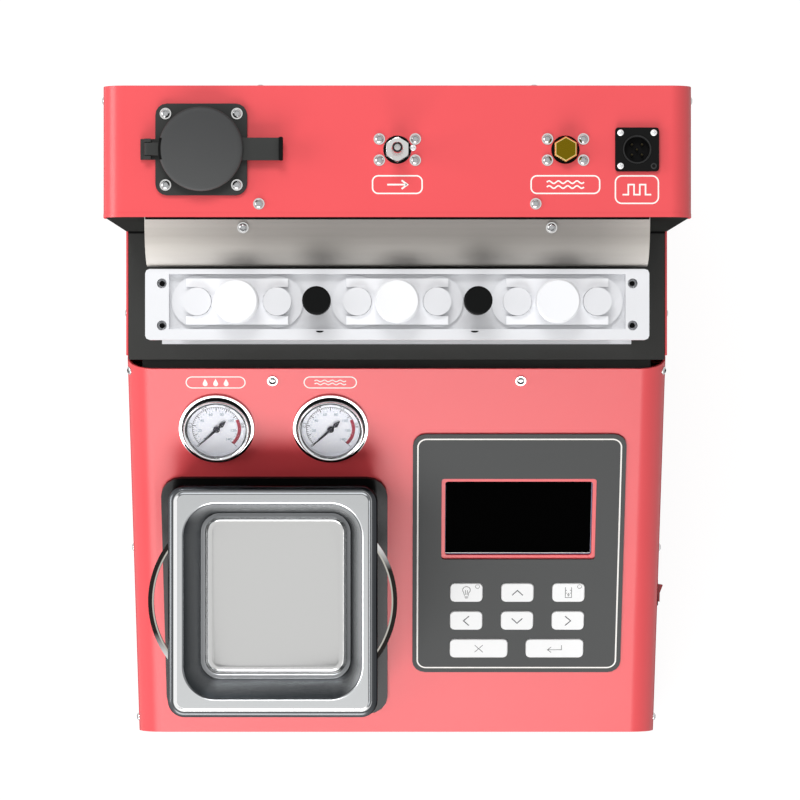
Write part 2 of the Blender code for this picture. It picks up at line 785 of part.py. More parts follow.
def make_rear_panel(look):
    """The flat panel that closes the back, with vents and the mains inlet hole."""
    top = TOP_Z - SHEET - GAP
    bend = TOWER_BEND - SHEET - GAP
    board = [(INNER_HALF, BASE_Z)]
    for step in range(BEND_STEPS + 1):
        angle = math.radians(90) * step / BEND_STEPS
        board.append((INNER_HALF - bend + bend * math.cos(angle), top - bend + bend * math.sin(angle)))
    board += [(-x, z) for x, z in reversed(board)]
    outlines = [board]
    for side in (-1, 1):
        for row in range(VENT_COUNT):
            height = VENT_CENTRE_Z + (row - (VENT_COUNT - 1) / 2) * VENT_PITCH
            place = (side * VENT_CENTRE_X, height)
            outlines.append(rectangle(VENT_WIDTH, VENT_HEIGHT, VENT_HEIGHT / 2, EDGE_STEPS, place))
    hole = (INLET_BODY_WIDTH + 2 * HOLE_CLEARANCE, INLET_BODY_HEIGHT + 2 * HOLE_CLEARANCE)
    outlines.append(rectangle(*hole, INLET_WALL, EDGE_STEPS, (INLET_X, BASE_Z + INLET_RISE)))
    add_part("rear_panel", front_view_mesh(outlines, BACK_Y - SHEET, BACK_Y), look)


def make_lamp(hood_look, lamp_look):
    """The stainless hood, a quarter round that leans forward, and the lamp bar under it."""
    section = []
    for step in range(HOOD_STEPS + 1):
        angle = math.radians(90) * step / HOOD_STEPS
        section.append((-HOOD_REACH * math.sin(angle), -HOOD_FALL * (1 - math.cos(angle))))
    inner_reach = HOOD_REACH - HOOD_SHEET
    inner_fall = HOOD_FALL - HOOD_SHEET
    for step in range(HOOD_STEPS, 0, -1):
        angle = math.radians(90) * step / HOOD_STEPS
        down = HOOD_SHEET + inner_fall * (1 - math.cos(angle))
        section.append((-inner_reach * math.sin(angle), -down))
    section += [(-HOOD_SHEET, -HOOD_SHEET), (-HOOD_SHEET, -HOOD_FLANGE), (0, -HOOD_FLANGE)]
    back = TOWER_Y - GAP
    top = TOP_Z - HOOD_DROP
    placed = [(back + y, top + z) for y, z in section]
    add_part("light_hood", smooth(side_view_mesh(placed, *around(0, HOOD_WIDTH))), hood_look)
    lamp_top = top - HOOD_FLANGE - LAMP_DROP
    lamp = box_mesh(around(0, LAMP_WIDTH), (back - LAMP_DEPTH, back), (lamp_top - LAMP_HEIGHT, lamp_top))
    add_part("lamp_bar", lamp, lamp_look)


def tube_places():
    """The X of each glass tube, from left to right."""
    first = -(TUBE_COUNT - 1) / 2
    return [(first + index) * TUBE_PITCH for index in range(TUBE_COUNT)]


def bar_places():
    """The X of each clamp bar, between the tubes of a pair."""
    tubes = tube_places()
    return [(left + right) / 2 for left, right in zip(tubes[0::2], tubes[1::2])]


def guide_places():
    """The X of each long stud, between the pairs of tubes."""
    bars = bar_places()
    return [(left + right) / 2 for left, right in zip(bars, bars[1:])]


def make_rack_plates(look):
    """Top plate with its recess, seats and plugs, and the bottom plate on the deck."""
    footprint = rectangle(RACK_WIDTH, RACK_DEPTH, RACK_CORNER, EDGE_STEPS, (0, RACK_Y))
    slab = outline_mesh([footprint], RACK_UNDER_Z, RACK_TOP_Z, plain=True)
    top = add_part("rack_top_plate", slab, look)
    window = box_mesh(
        around(0, WINDOW_WIDTH), around(TUBE_Y, WINDOW_DEPTH), (RACK_FLOOR_Z, RACK_TOP_Z + OVERRUN)
    )
    cut(top, add_tool("rack_window", window))
    base = box_mesh(around(0, RACK_WIDTH), around(RACK_Y, RACK_DEPTH), (RACK_FOOT_Z, RACK_BED_Z))
    bottom = add_part("rack_bottom_plate", base, look)
    plug = turned_mesh(
        [
            (0, RACK_FLOOR_Z + PLUG_HEIGHT),
            (PLUG_RADIUS, RACK_FLOOR_Z + PLUG_HEIGHT),
            (PLUG_RADIUS, RACK_FLOOR_Z + SEAT_HEIGHT),
            (SEAT_RADIUS, RACK_FLOOR_Z + SEAT_HEIGHT),
            (SEAT_RADIUS, RACK_FLOOR_Z - OVERLAP),
            (0, RACK_FLOOR_Z - OVERLAP),
        ],
        TUBE_STEPS,
    )
    pocket_radius = TUBE_RADIUS + GAP
    high_pocket = drum_mesh(pocket_radius, RACK_UNDER_Z - OVERRUN, RACK_UNDER_Z + TUBE_POCKET, TUBE_STEPS)
    low_pocket = drum_mesh(pocket_radius, RACK_BED_Z - TUBE_POCKET, RACK_BED_Z + OVERRUN, TUBE_STEPS)
    for x in tube_places():
        place = (x, TUBE_Y, 0)
        join(top, add_tool("seat_and_plug", plug, place=place))
        cut(top, add_tool("high_pocket", high_pocket, place=place))
        cut(bottom, add_tool("low_pocket", low_pocket, place=place))
    bore = turned_mesh(
        [
            (0, RACK_TOP_Z + OVERRUN),
            (BORE_RADIUS, RACK_TOP_Z + OVERRUN),
            (BORE_RADIUS, RACK_TOP_Z - BORE_DEPTH),
            (BORE_THROUGH_RADIUS, RACK_TOP_Z - BORE_DEPTH),
            (BORE_THROUGH_RADIUS, RACK_UNDER_Z - OVERRUN),
            (0, RACK_UNDER_Z - OVERRUN),
        ],
        SMALL_TURN_STEPS,
    )
    for x in (-BORE_X, BORE_X):
        for y in (-BORE_Y, BORE_Y):
            cut(top, add_tool("screw_bore", bore, place=(x, RACK_Y + y, 0)))
    guide = GUIDE_STUD_RADIUS + STUD_CLEARANCE
    socket_z = RACK_BED_Z - GUIDE_SOCKET_DEPTH
    through = drum_mesh(guide, RACK_UNDER_Z - OVERRUN, RACK_TOP_Z + OVERRUN, SMALL_TURN_STEPS)
    socket = drum_mesh(guide, socket_z, RACK_BED_Z + OVERRUN, SMALL_TURN_STEPS)
    for x in guide_places():
        cut(top, add_tool("guide_hole", through, place=(x, TUBE_Y, 0)))
        cut(bottom, add_tool("guide_socket", socket, place=(x, TUBE_Y, 0)))
    clamp = CLAMP_STUD_RADIUS + STUD_CLEARANCE
    hole = drum_mesh(clamp, RACK_UNDER_Z - OVERRUN, RACK_TOP_Z + OVERRUN, SMALL_TURN_STEPS)
    for x in bar_places():
        cut(top, add_tool("clamp_hole", hole, place=(x, TUBE_Y, 0)))


def make_rack_uprights(look):
    """The two uprights that hold the plates apart."""
    height = (RACK_BED_Z + GAP, RACK_UNDER_Z - GAP)
    for name, x in (("rack_upright_left", -BORE_X), ("rack_upright_right", BORE_X)):
        mesh = box_mesh(around(x, UPRIGHT_WIDTH), around(RACK_Y, UPRIGHT_DEPTH), height)
        add_part(name, mesh, look)


def make_glass_tubes(look):
    """Six measuring tubes that stand in the pockets of both plates."""
    low = RACK_BED_Z - TUBE_POCKET + GAP
    high = RACK_UNDER_Z + TUBE_POCKET - GAP
    bore = TUBE_RADIUS - TUBE_WALL
    profile = [(TUBE_RADIUS, high), (TUBE_RADIUS, low), (bore, low), (bore, high)]
    mesh = turned_mesh(profile, TUBE_STEPS, closed=True)
    for index, x in enumerate(tube_places()):
        add_part("glass_tube_%d" % (index + 1), mesh, look, place=(x, TUBE_Y, 0))


def bar_outline():
    """A clamp bar seen from above: a slot at each end fits round a plug."""
    radius = PLUG_RADIUS + BAR_SLOT_CLEARANCE
    reach = TUBE_PITCH / 2
    end = BAR_LENGTH / 2
    side = BAR_WIDTH / 2
    points = [(end, radius), (end, side), (-end, side), (-end, radius)]
    half = SMALL_TURN_STEPS // 2
    for step in range(half + 1):
        angle = math.radians(90) - math.pi * step / half
        points.append((-reach + radius * math.cos(angle), radius * math.sin(angle)))
    points += [(-end, -radius), (-end, -side), (end, -side), (end, -radius)]
    for step in range(half + 1):
        angle = math.radians(-90) - math.pi * step / half
        points.append((reach + radius * math.cos(angle), radius * math.sin(angle)))
    return points


def make_clamps(bar_look, knob_look):
    """Three bars that hold the plugs down, and the knobs that press them."""
    low = RACK_FLOOR_Z + SEAT_HEIGHT + GAP
    high = low + BAR_HEIGHT
    hub = high + GAP
    hole_radius = CLAMP_STUD_RADIUS + STUD_CLEARANCE
    hole = [(hole_radius * math.cos(a), hole_radius * math.sin(a)) for a in turn_angles(SMALL_TURN_STEPS)]
    bar = outline_mesh([bar_outline(), hole], low, high)
    head = hub + KNOB_HUB_HEIGHT
    top = head + KNOB_HEIGHT
    knob = turned_mesh(
        [
            (0, top),
            (KNOB_RADIUS - KNOB_EDGE, top),
            (KNOB_RADIUS, top - KNOB_EDGE),
            (KNOB_RADIUS, head),
            (KNOB_HUB_RADIUS, head),
            (KNOB_HUB_RADIUS, hub),
            (CLAMP_STUD_RADIUS, hub),
            (CLAMP_STUD_RADIUS, RACK_UNDER_Z + CLAMP_STUD_TIP),
            (0, RACK_UNDER_Z + CLAMP_STUD_TIP),
        ],
        TURN_STEPS,
    )
    for index, x in enumerate(bar_places()):
        number = index + 1
        add_part("clamp_bar_%d" % number, bar, bar_look, place=(x, TUBE_Y, 0))
        add_part("clamp_knob_%d" % number, knob, knob_look, place=(x, TUBE_Y, 0))


def turn_angles(steps):
    """The angles of a full turn in equal steps."""
    return [math.tau * step / steps for step in range(steps)]


def make_guide_knobs(look):
    """Two black knobs whose long studs reach down to the bottom plate."""
    top = RACK_FLOOR_Z + GUIDE_KNOB_RISE + SEAT_HEIGHT
    head = top - GUIDE_KNOB_HEIGHT
    collar = RACK_FLOOR_Z + GAP
    tip = RACK_BED_Z - GUIDE_SOCKET_DEPTH + GAP
    profile = [
        (0, top),
        (GUIDE_KNOB_RADIUS - KNOB_EDGE, top),
        (GUIDE_KNOB_RADIUS, top - KNOB_EDGE),
        (GUIDE_KNOB_RADIUS, head),
        (GUIDE_COLLAR_RADIUS, head),
        (GUIDE_COLLAR_RADIUS, collar),
        (GUIDE_STUD_RADIUS, collar),
        (GUIDE_STUD_RADIUS, tip),
        (0, tip),
    ]
    mesh = turned_mesh(profile, TURN_STEPS)
    for name, x in zip(("guide_knob_left", "guide_knob_right"), guide_places()):
        add_part(name, mesh, look, place=(x, TUBE_Y, 0))


def surround_inside():
    """Inner width and length of the tank surround."""
    step = TANK_SHEET + SURROUND_CLEARANCE + SURROUND_WALL
    return TANK_WIDTH - 2 * step, TANK_LENGTH - 2 * step


def tank_opening(extra):
    """Plan outline of the opening under the tank, wider by the extra all round."""
    width, length = surround_inside()
    radius = TANK_CORNER
    return rectangle(width + 2 * extra, length + 2 * extra, radius, CORNER_STEPS, (TANK_X, TANK_Y))


def make_tank_surround(look, frame):
    """A flange on the slope and a skirt that carries the tank's rim level."""
    step = TANK_SHEET + SURROUND_CLEARANCE
    outline = rectangle(
        TANK_WIDTH - 2 * step, TANK_LENGTH - 2 * step, TANK_CORNER, CORNER_STEPS, (TANK_X, TANK_Y)
    )
    skirt = outline_mesh([outline], BASE_Z, TANK_RIM_Z - TANK_SHEET - GAP, plain=True)
    surround = add_part("tank_surround", smooth(skirt), look)
    run = SLOPE_TOP_Y - FRONT_Y + OVERRUN
    below = box_mesh((-HALF_WIDTH, HALF_WIDTH), (-2 * run, run), (-run, GAP))
    cut(surround, add_tool("under_the_slope", below, frame))
    width = TANK_WIDTH + 2 * SURROUND_OUTSET
    length = (TANK_LENGTH + 2 * SURROUND_OUTSET) / math.cos(SLOPE)
    down = (TANK_Y - SLOPE_TOP_Y) / math.cos(SLOPE)
    plan = rectangle(width, length, SURROUND_CORNER, CORNER_STEPS, (TANK_X, down))
    flange = outline_mesh([plan], GAP, GAP + SURROUND_FLANGE, plain=True)
    join(surround, add_tool("surround_flange", flange, frame))
    opening = outline_mesh([tank_opening(0)], BASE_Z, TANK_RIM_Z + OVERRUN, plain=True)
    cut(surround, add_tool("surround_opening", opening))


def tank_rings():
    """Rings of the drawn pan, from under its floor, round its rim and down inside."""
    wall = BASIN_WALL_DEPTH
    rings = []

    def basin(inward, height):
        outline = rectangle(
            BASIN_WIDTH - 2 * inward, BASIN_LENGTH - 2 * inward, BASIN_CORNER - inward, CORNER_STEPS
        )
        rings.append((outline, height))

    def rim(inward, height):
        outline = rectangle(
            TANK_WIDTH - 2 * inward, TANK_LENGTH - 2 * inward, TANK_CORNER - inward, CORNER_STEPS
        )
        rings.append((outline, height))

    foot = BASIN_TAPER + BASIN_FILLET
    outer = BASIN_FILLET + TANK_SHEET
    for step in range(FILLET_STEPS, -1, -1):
        angle = math.radians(90) * step / FILLET_STEPS
        basin(foot - outer * math.cos(angle), -wall - outer * math.sin(angle))
    basin(-TANK_SHEET, -BASIN_EDGE - TANK_SHEET)
    basin(-TANK_SHEET - BASIN_EDGE, -TANK_SHEET)
    rim(TANK_SHEET, -TANK_SHEET)
    rim(TANK_SHEET, -TANK_LIP)
    rim(0, -TANK_LIP)
    for step in range(EDGE_STEPS + 1):
        angle = math.radians(90) * step / EDGE_STEPS
        rim(TANK_EDGE * (1 - math.cos(angle)), -TANK_EDGE * (1 - math.sin(angle)))
    for step in range(EDGE_STEPS + 1):
        angle = math.radians(90) * step / EDGE_STEPS
        basin(BASIN_EDGE * (math.sin(angle) - 1), -BASIN_EDGE * (1 - math.cos(angle)))
    for step in range(FILLET_STEPS + 1):
        angle = math.radians(90) * step / FILLET_STEPS
        basin(foot - BASIN_FILLET * math.cos(angle), -wall - BASIN_FILLET * math.sin(angle))
    return rings


def handle_mesh():
    """A strap bent to an arc, seen from above, that bulges to the right of the rim."""
    root = TANK_WIDTH / 2 - HANDLE_ROOT
    half = HANDLE_SPAN / 2
    bulge = HANDLE_BULGE + HANDLE_ROOT
    radius = (half * half + bulge * bulge) / (2 * bulge)
    middle = root + bulge - radius
    inner = radius - HANDLE_SHEET
    outer_sweep = math.acos((root - middle) / radius)
    inner_sweep = math.acos((root - middle) / inner)
    outline = []
    for reach, sweep in ((radius, outer_sweep), (inner, -inner_sweep)):
        for step in range(HANDLE_STEPS + 1):
            angle = sweep * (2 * step / HANDLE_STEPS - 1)
            outline.append((middle + reach * math.cos(angle), reach * math.sin(angle)))
    return outline_mesh([outline], -TANK_EDGE - HANDLE_HEIGHT, -TANK_EDGE, plain=True)


def make_tank(look, transducer_look):
    """The drawn pan with its two strap handles, and the transducer bonded under it."""
    place = (TANK_X, TANK_Y, TANK_RIM_Z)
    pan = add_part("tank_pan", loft_mesh(tank_rings()), look, place=place)
    join(pan, add_tool("right_handle", handle_mesh(), place=place))
    join(pan, add_tool("left_handle", handle_mesh(), place=place, turn=(0, 0, math.pi)))
    top = -TANK_DEPTH - TANK_SHEET - GAP
    low = top - TRANSDUCER_HEIGHT
    profile = [
        (0, top),
        (TRANSDUCER_RADIUS, top),
        (TRANSDUCER_NECK_RADIUS, top - TRANSDUCER_HORN),
        (TRANSDUCER_NECK_RADIUS, low),
        (0, low),
    ]
    add_part("transducer", turned_mesh(profile, SMALL_TURN_STEPS), transducer_look, place=place)


def gauge_places():
    """The X of both gauges, fuel on the left and air on the right."""
    return GAUGE_MIDDLE_X - GAUGE_SPACING / 2, GAUGE_MIDDLE_X + GAUGE_SPACING / 2


def make_gauges(case_look, needle_look, lens_look, frame):
    """Two gauges: a turned case with a dial recess, a needle and a lens."""
    lens_low = GAUGE_LEDGE_HEIGHT + GAP
    pin_top = GAUGE_DIAL_HEIGHT + GAUGE_PIN_HEIGHT
    back = -GAUGE_BODY_DEPTH
    case = turned_mesh(
        [
            (0, pin_top),
            (GAUGE_PIN_RADIUS, pin_top),
            (GAUGE_PIN_RADIUS, GAUGE_DIAL_HEIGHT),
            (GAUGE_DIAL_RADIUS, GAUGE_DIAL_HEIGHT),
            (GAUGE_DIAL_RADIUS, GAUGE_LEDGE_HEIGHT),
            (GAUGE_WINDOW_RADIUS, GAUGE_LEDGE_HEIGHT),
            (GAUGE_WINDOW_RADIUS, GAUGE_BEZEL_HEIGHT),
            (GAUGE_BEZEL_RADIUS - KNOB_EDGE, GAUGE_BEZEL_HEIGHT),
            (GAUGE_BEZEL_RADIUS, GAUGE_BEZEL_HEIGHT - KNOB_EDGE),
            (GAUGE_BEZEL_RADIUS, GAP + GAUGE_FLANGE),
            (GAUGE_FLANGE_RADIUS, GAP + GAUGE_FLANGE),
            (GAUGE_FLANGE_RADIUS, GAP),
            (GAUGE_BODY_RADIUS, GAP),
            (GAUGE_BODY_RADIUS, back),
            (GAUGE_STEM_RADIUS, back),
            (GAUGE_STEM_RADIUS, back - GAUGE_STEM_LENGTH),
            (0, back - GAUGE_STEM_LENGTH),
        ],
        TURN_STEPS,
    )
    lens_radius = GAUGE_WINDOW_RADIUS - GAP
    lens = drum_mesh(lens_radius, lens_low, lens_low + LENS_THICKNESS, TURN_STEPS)
    hub_low = pin_top + GAP
    side = NEEDLE_WIDTH / 2
    tip = NEEDLE_WIDTH / 4
    pointer = [(-NEEDLE_TAIL, -side), (0, -side), (NEEDLE_LENGTH, -tip), (NEEDLE_LENGTH, tip)]
    pointer += [(0, side), (-NEEDLE_TAIL, side)]
    blade = outline_mesh([pointer], hub_low + OVERLAP, hub_low + OVERLAP + NEEDLE_THICKNESS, plain=True)
    hub = drum_mesh(NEEDLE_HUB_RADIUS, hub_low, hub_low + NEEDLE_HUB_HEIGHT, SMALL_TURN_STEPS)
    for name, x in zip(("fuel", "air"), gauge_places()):
        place = (x, -GAUGE_DROP, 0)
        add_part("gauge_case_%s" % name, case, case_look, frame, place)
        add_part("gauge_lens_%s" % name, lens, lens_look, frame, place)
        turn = (0, 0, NEEDLE_ZERO_ANGLE)
        needle = add_part("gauge_needle_%s" % name, hub, needle_look, frame, place, turn)
        join(needle, add_tool("pointer_%s" % name, blade, frame, place, turn))


def key_places():
    """Name, width and place of each key, measured from the middle of the key field."""
    places = []
    names = (("light", "up", "drain"), ("left", "down", "right"))
    for row, row_names in enumerate(names):
        for column, name in enumerate(row_names):
            x = (column - 1) * KEY_PITCH_X
            places.append(("key_" + name, KEY_WIDTH, x, (1 - row) * KEY_PITCH_Y))
    places.append(("key_exit", WIDE_KEY_WIDTH, -WIDE_KEY_PITCH_X / 2, -KEY_PITCH_Y))
    places.append(("key_enter", WIDE_KEY_WIDTH, WIDE_KEY_PITCH_X / 2, -KEY_PITCH_Y))
    return places


def make_keypad(look, frame):
    """The dark plate on the slope, with its display window and key openings."""
    outlines = [
        rectangle(KEYPAD_WIDTH, KEYPAD_LENGTH, KEYPAD_CORNER, CORNER_STEPS, (KEYPAD_X, -KEYPAD_DROP)),
        rectangle(
            DISPLAY_WINDOW_WIDTH, DISPLAY_WINDOW_LENGTH, DISPLAY_CORNER, EDGE_STEPS,
            (KEYPAD_X, -DISPLAY_WINDOW_DROP),
        ),
    ]
    for name, width, x, y in key_places():
        place = (KEYPAD_X + x, y - KEY_ROW_DROP)
        opening = (width + 2 * KEY_CLEARANCE, KEY_LENGTH + 2 * KEY_CLEARANCE)
        outlines.append(rectangle(*opening, KEY_CORNER + KEY_CLEARANCE, KEY_CORNER_STEPS, place))
    plate = outline_mesh(outlines, GAP, GAP + KEYPAD_SHEET)
    add_part("keypad_plate", plate, look, frame)


def make_keys(look, frame):
    """Eight keys: each cap rises through the plate and a flange keeps it in."""
    top = GAP + KEYPAD_SHEET + KEY_RISE
    for name, width, x, y in key_places():
        flange = (width + 2 * KEY_FLANGE, KEY_LENGTH + 2 * KEY_FLANGE)
        wide = rectangle(*flange, KEY_CORNER + KEY_FLANGE, KEY_CORNER_STEPS)
        cap = rectangle(width, KEY_LENGTH, KEY_CORNER, KEY_CORNER_STEPS)
        face = (width - 2 * KEY_EDGE, KEY_LENGTH - 2 * KEY_EDGE)
        crown = rectangle(*face, KEY_CORNER - KEY_EDGE, KEY_CORNER_STEPS)
        rings = [
            (cap, -KEY_SKIRT),
            (cap, -KEY_FLANGE_HEIGHT),
            (wide, -KEY_FLANGE_HEIGHT),
            (wide, 0),
            (cap, 0),
            (cap, top - KEY_EDGE),
            (crown, top),
        ]
        place = (KEYPAD_X + x, y - KEY_ROW_DROP, 0)
        add_part(name, loft_mesh(rings), look, frame, place)


def board_top():
    """Level of the control board's upper face, under the slope."""
    return -KEY_SKIRT - GAP - KEY_TRAVEL - SWITCH_HEIGHT


def make_display(look, frame):
    """The display module, between the slope's window and the control board."""
    top = -SHEET - GAP
    width = DISPLAY_VIEW_WIDTH + 2 * DISPLAY_BORDER
    length = DISPLAY_VIEW_LENGTH + 2 * DISPLAY_BORDER
    mesh = box_mesh(around(0, width), around(0, length), (board_top() + GAP, top))
    add_part("display_module", mesh, look, frame, (KEYPAD_X, -DISPLAY_WINDOW_DROP, 0))


def make_control_board(look, frame):
    """The board under the keypad: a switch below each key and four posts to the slope."""
    top = board_top()
    upper = -DISPLAY_WINDOW_DROP + DISPLAY_VIEW_LENGTH / 2 + DISPLAY_BORDER + BOARD_MARGIN
    lower = -KEY_ROW_DROP - KEY_PITCH_Y - KEY_LENGTH / 2 - KEY_FLANGE - BOARD_MARGIN
    field = max(2 * KEY_PITCH_X + KEY_WIDTH, WIDE_KEY_PITCH_X + WIDE_KEY_WIDTH) + 2 * KEY_FLANGE
    half = max(field, DISPLAY_VIEW_WIDTH + 2 * DISPLAY_BORDER) / 2 + BOARD_MARGIN
    plate = box_mesh((-half, half), (lower, upper), (top - BOARD_THICKNESS, top))
    board = add_part("control_board", plate, look, frame, (KEYPAD_X, 0, 0))
    for name, width, x, y in key_places():
        place = (KEYPAD_X + x, y - KEY_ROW_DROP, 0)
        switch = box_mesh(
            around(0, SWITCH_SIZE), around(0, SWITCH_SIZE), (top - OVERLAP, top + SWITCH_HEIGHT)
        )
        join(board, add_tool("switch_" + name, switch, frame, place))
    post = drum_mesh(POST_RADIUS, top - OVERLAP, -SHEET - GAP, SMALL_TURN_STEPS)
    for x in (-half + POST_INSET, half - POST_INSET):
        for y in (lower + POST_INSET, upper - POST_INSET):
            join(board, add_tool("board_post", post, frame, (KEYPAD_X + x, y, 0)))


def hinge_place():
    """The axis of the filler cap's hinge, as X and Z."""
    x = FILLER_X - FILLER_FLANGE / 2 - EAR_REACH / 2
    z = TOP_Z + GAP + FILLER_PLATE + GAP + HINGE_RADIUS
    return x, z


def make_filler_neck(look):
    """The square flange, its raised rim, the tube into the reservoir and the hinge ear."""
    low = TOP_Z + GAP
    high = low + FILLER_PLATE
    place = (FILLER_X, FITTING_Y)
    corner = FILLER_FLANGE_CORNER
    square = rectangle(FILLER_FLANGE, FILLER_FLANGE, corner, CORNER_STEPS, place)
    neck = add_part("filler_neck", outline_mesh([square], low, high, plain=True), look)
    rim = turned_mesh(
        [
            (0, high + FILLER_RIM_HEIGHT),
            (FILLER_RIM_RADIUS, high + FILLER_RIM_HEIGHT),
            (FILLER_RIM_RADIUS, low + OVERLAP),
            (FILLER_TUBE_RADIUS, low + OVERLAP),
            (FILLER_TUBE_RADIUS, low - FILLER_TUBE_LENGTH),
            (0, low - FILLER_TUBE_LENGTH),
        ],
        TURN_STEPS,
    )
    join(neck, add_tool("filler_rim", rim, place=(*place, 0)))
    edge = FILLER_X - FILLER_FLANGE / 2
    ear = box_mesh((edge - EAR_REACH, edge + corner), around(FITTING_Y, EAR_WIDTH), (low, high))
    join(neck, add_tool("hinge_ear", ear))
    hinge_x, hinge_z = hinge_place()
    for side in (-1, 1):
        middle = FITTING_Y + side * (EAR_WIDTH - HINGE_LUG) / 2
        lug = box_mesh(
            around(hinge_x, 2 * HINGE_RADIUS), around(middle, HINGE_LUG),
            (high - OVERLAP, hinge_z + HINGE_RADIUS),
        )
        join(neck, add_tool("hinge_lug", lug))
    bottom = low - FILLER_TUBE_LENGTH - OVERRUN
    bore = drum_mesh(FILLER_BORE_RADIUS, bottom, high + FILLER_RIM_HEIGHT + OVERRUN, TURN_STEPS, place)
    cut(neck, add_tool("filler_bore", bore))


def make_filler_cap(look):
    """The round rubber cap with its strap to the hinge and its pull tab."""
    hinge_x, hinge_z = hinge_place()
    centre = FILLER_X - hinge_x
    plate_top = TOP_Z + GAP + FILLER_PLATE - hinge_z
    rim_top = plate_top + FILLER_RIM_HEIGHT
    top = rim_top + GAP + CAP_TOP
    hollow_radius = FILLER_RIM_RADIUS + CAP_RIM_CLEARANCE
    cup = turned_mesh(
        [
            (0, top),
            (CAP_RADIUS - CAP_EDGE, top),
            (CAP_RADIUS, top - CAP_EDGE),
            (CAP_RADIUS, plate_top + GAP),
            (hollow_radius, plate_top + GAP),
            (hollow_radius, rim_top + GAP),
            (0, rim_top + GAP),
        ],
        TURN_STEPS,
    )
    cup.transform(Matrix.Translation((centre, 0, 0)))
    place = (hinge_x, FITTING_Y, hinge_z)
    cap = add_part("filler_cap", cup, look, place=place)
    barrel_length = EAR_WIDTH - 2 * HINGE_LUG - 2 * GAP
    barrel = drum_mesh(HINGE_RADIUS, -barrel_length / 2, barrel_length / 2, SMALL_TURN_STEPS)
    barrel.transform(Matrix.Rotation(math.radians(90), 4, "X"))
    wall = centre - CAP_RADIUS + (CAP_RADIUS - hollow_radius) / 2
    strap = box_mesh((0, wall), around(0, barrel_length), (HINGE_RADIUS - STRAP_THICKNESS, HINGE_RADIUS))
    end = centre + FILLER_FLANGE / 2 + TAB_REACH
    start = centre + CAP_RADIUS - (CAP_RADIUS - hollow_radius) / 2
    tab = box_mesh((start, end), around(0, TAB_WIDTH), (HINGE_RADIUS - STRAP_THICKNESS, HINGE_RADIUS))
    lip = box_mesh(
        (end - TAB_LIP_THICKNESS, end), around(0, TAB_WIDTH),
        (HINGE_RADIUS - STRAP_THICKNESS, HINGE_RADIUS + TAB_LIP),
    )
    for name, mesh in (("cap_barrel", barrel), ("cap_strap", strap), ("cap_tab", tab), ("cap_lip", lip)):
        join(cap, add_tool(name, mesh, place=place))


def fitting_plate_mesh():
    """The plate under the tower's top that holds a fitting."""
    high = TOP_Z - SHEET - GAP
    return box_mesh(
        around(0, FITTING_PLATE_WIDTH), around(0, FITTING_PLATE_LENGTH), (high - FITTING_PLATE, high)
    )


def make_outlet_fitting(look):
    """A bulkhead fitting: hexagon, barbed nipple with its bore, and a tail below."""
    place = (OUTLET_X, FITTING_Y, 0)
    fitting = add_part("outlet_fitting", fitting_plate_mesh(), look, place=place)
    under = TOP_Z - SHEET - GAP - FITTING_PLATE
    hex_top = TOP_Z + HEX_RISE
    hexagon = drum_mesh(HEX_RADIUS, under + OVERLAP, hex_top, HEX_SIDES, start=math.radians(90))
    top = hex_top + NIPPLE_LENGTH
    nipple = turned_mesh(
        [
            (0, top),
            (NIPPLE_RADIUS, top),
            (NIPPLE_BARB_RADIUS, top - NIPPLE_BARB),
            (NIPPLE_RADIUS, top - NIPPLE_BARB),
            (NIPPLE_RADIUS, hex_top - OVERLAP),
            (0, hex_top - OVERLAP),
        ],
        SMALL_TURN_STEPS,
    )
    tail = drum_mesh(TAIL_RADIUS, under - TAIL_LENGTH, under + OVERLAP, SMALL_TURN_STEPS)
    for name, mesh in (("outlet_hex", hexagon), ("outlet_nipple", nipple), ("outlet_tail", tail)):
        join(fitting, add_tool(name, mesh, place=place))
    bore = drum_mesh(NIPPLE_BORE_RADIUS, top - NIPPLE_BORE_DEPTH, top + OVERRUN, SMALL_TURN_STEPS)
    cut(fitting, add_tool("outlet_bore", bore, place=place))


def hexagon_ring(radius):
    """The corners of a hexagon with one corner towards the back."""
    quarter = math.radians(90)
    return [(radius * math.cos(a + quarter), radius * math.sin(a + quarter)) for a in turn_angles(HEX_SIDES)]


def make_air_fitting(look):
    """The brass air intake: a plain hexagon with a chamfered top edge."""
    place = (AIR_X, FITTING_Y, 0)
    fitting = add_part("air_fitting", fitting_plate_mesh(), look, place=place)
    under = TOP_Z - SHEET - GAP - FITTING_PLATE
    top = TOP_Z + AIR_RISE
    side = hexagon_ring(HEX_RADIUS)
    face = hexagon_ring(HEX_RADIUS - AIR_CHAMFER)
    hexagon = loft_mesh([(side, under + OVERLAP), (side, top - AIR_CHAMFER), (face, top)])
    tail = drum_mesh(TAIL_RADIUS, under - TAIL_LENGTH, under + OVERLAP, SMALL_TURN_STEPS)
    for name, mesh in (("air_hex", hexagon), ("air_tail", tail)):
        join(fitting, add_tool(name, mesh, place=place))


def make_pulse_socket(look):
    """The square socket for the injector lead, with a round well."""
    low = TOP_Z + GAP
    high = low + SOCKET_FLANGE
    place = (SOCKET_X, FITTING_Y, 0)
    square = rectangle(SOCKET_WIDTH, SOCKET_WIDTH, SOCKET_CORNER, EDGE_STEPS)
    socket = add_part("pulse_socket", outline_mesh([square], low, high, plain=True), look, place=place)
    body = drum_mesh(SOCKET_BODY_RADIUS, low - SOCKET_BODY_LENGTH, low + OVERLAP, TURN_STEPS)
    join(socket, add_tool("socket_body", body, place=place))
    well = drum_mesh(SOCKET_WELL_RADIUS, high - SOCKET_WELL_DEPTH, high + OVERRUN, TURN_STEPS)
    cut(socket, add_tool("socket_well", well, place=place))


def rocker_place():
    """The middle of the rocker switch, on the outer face of the right side wall."""
    return HALF_WIDTH, -ROCKER_DROP_Y, BASE_Z + ROCKER_RISE


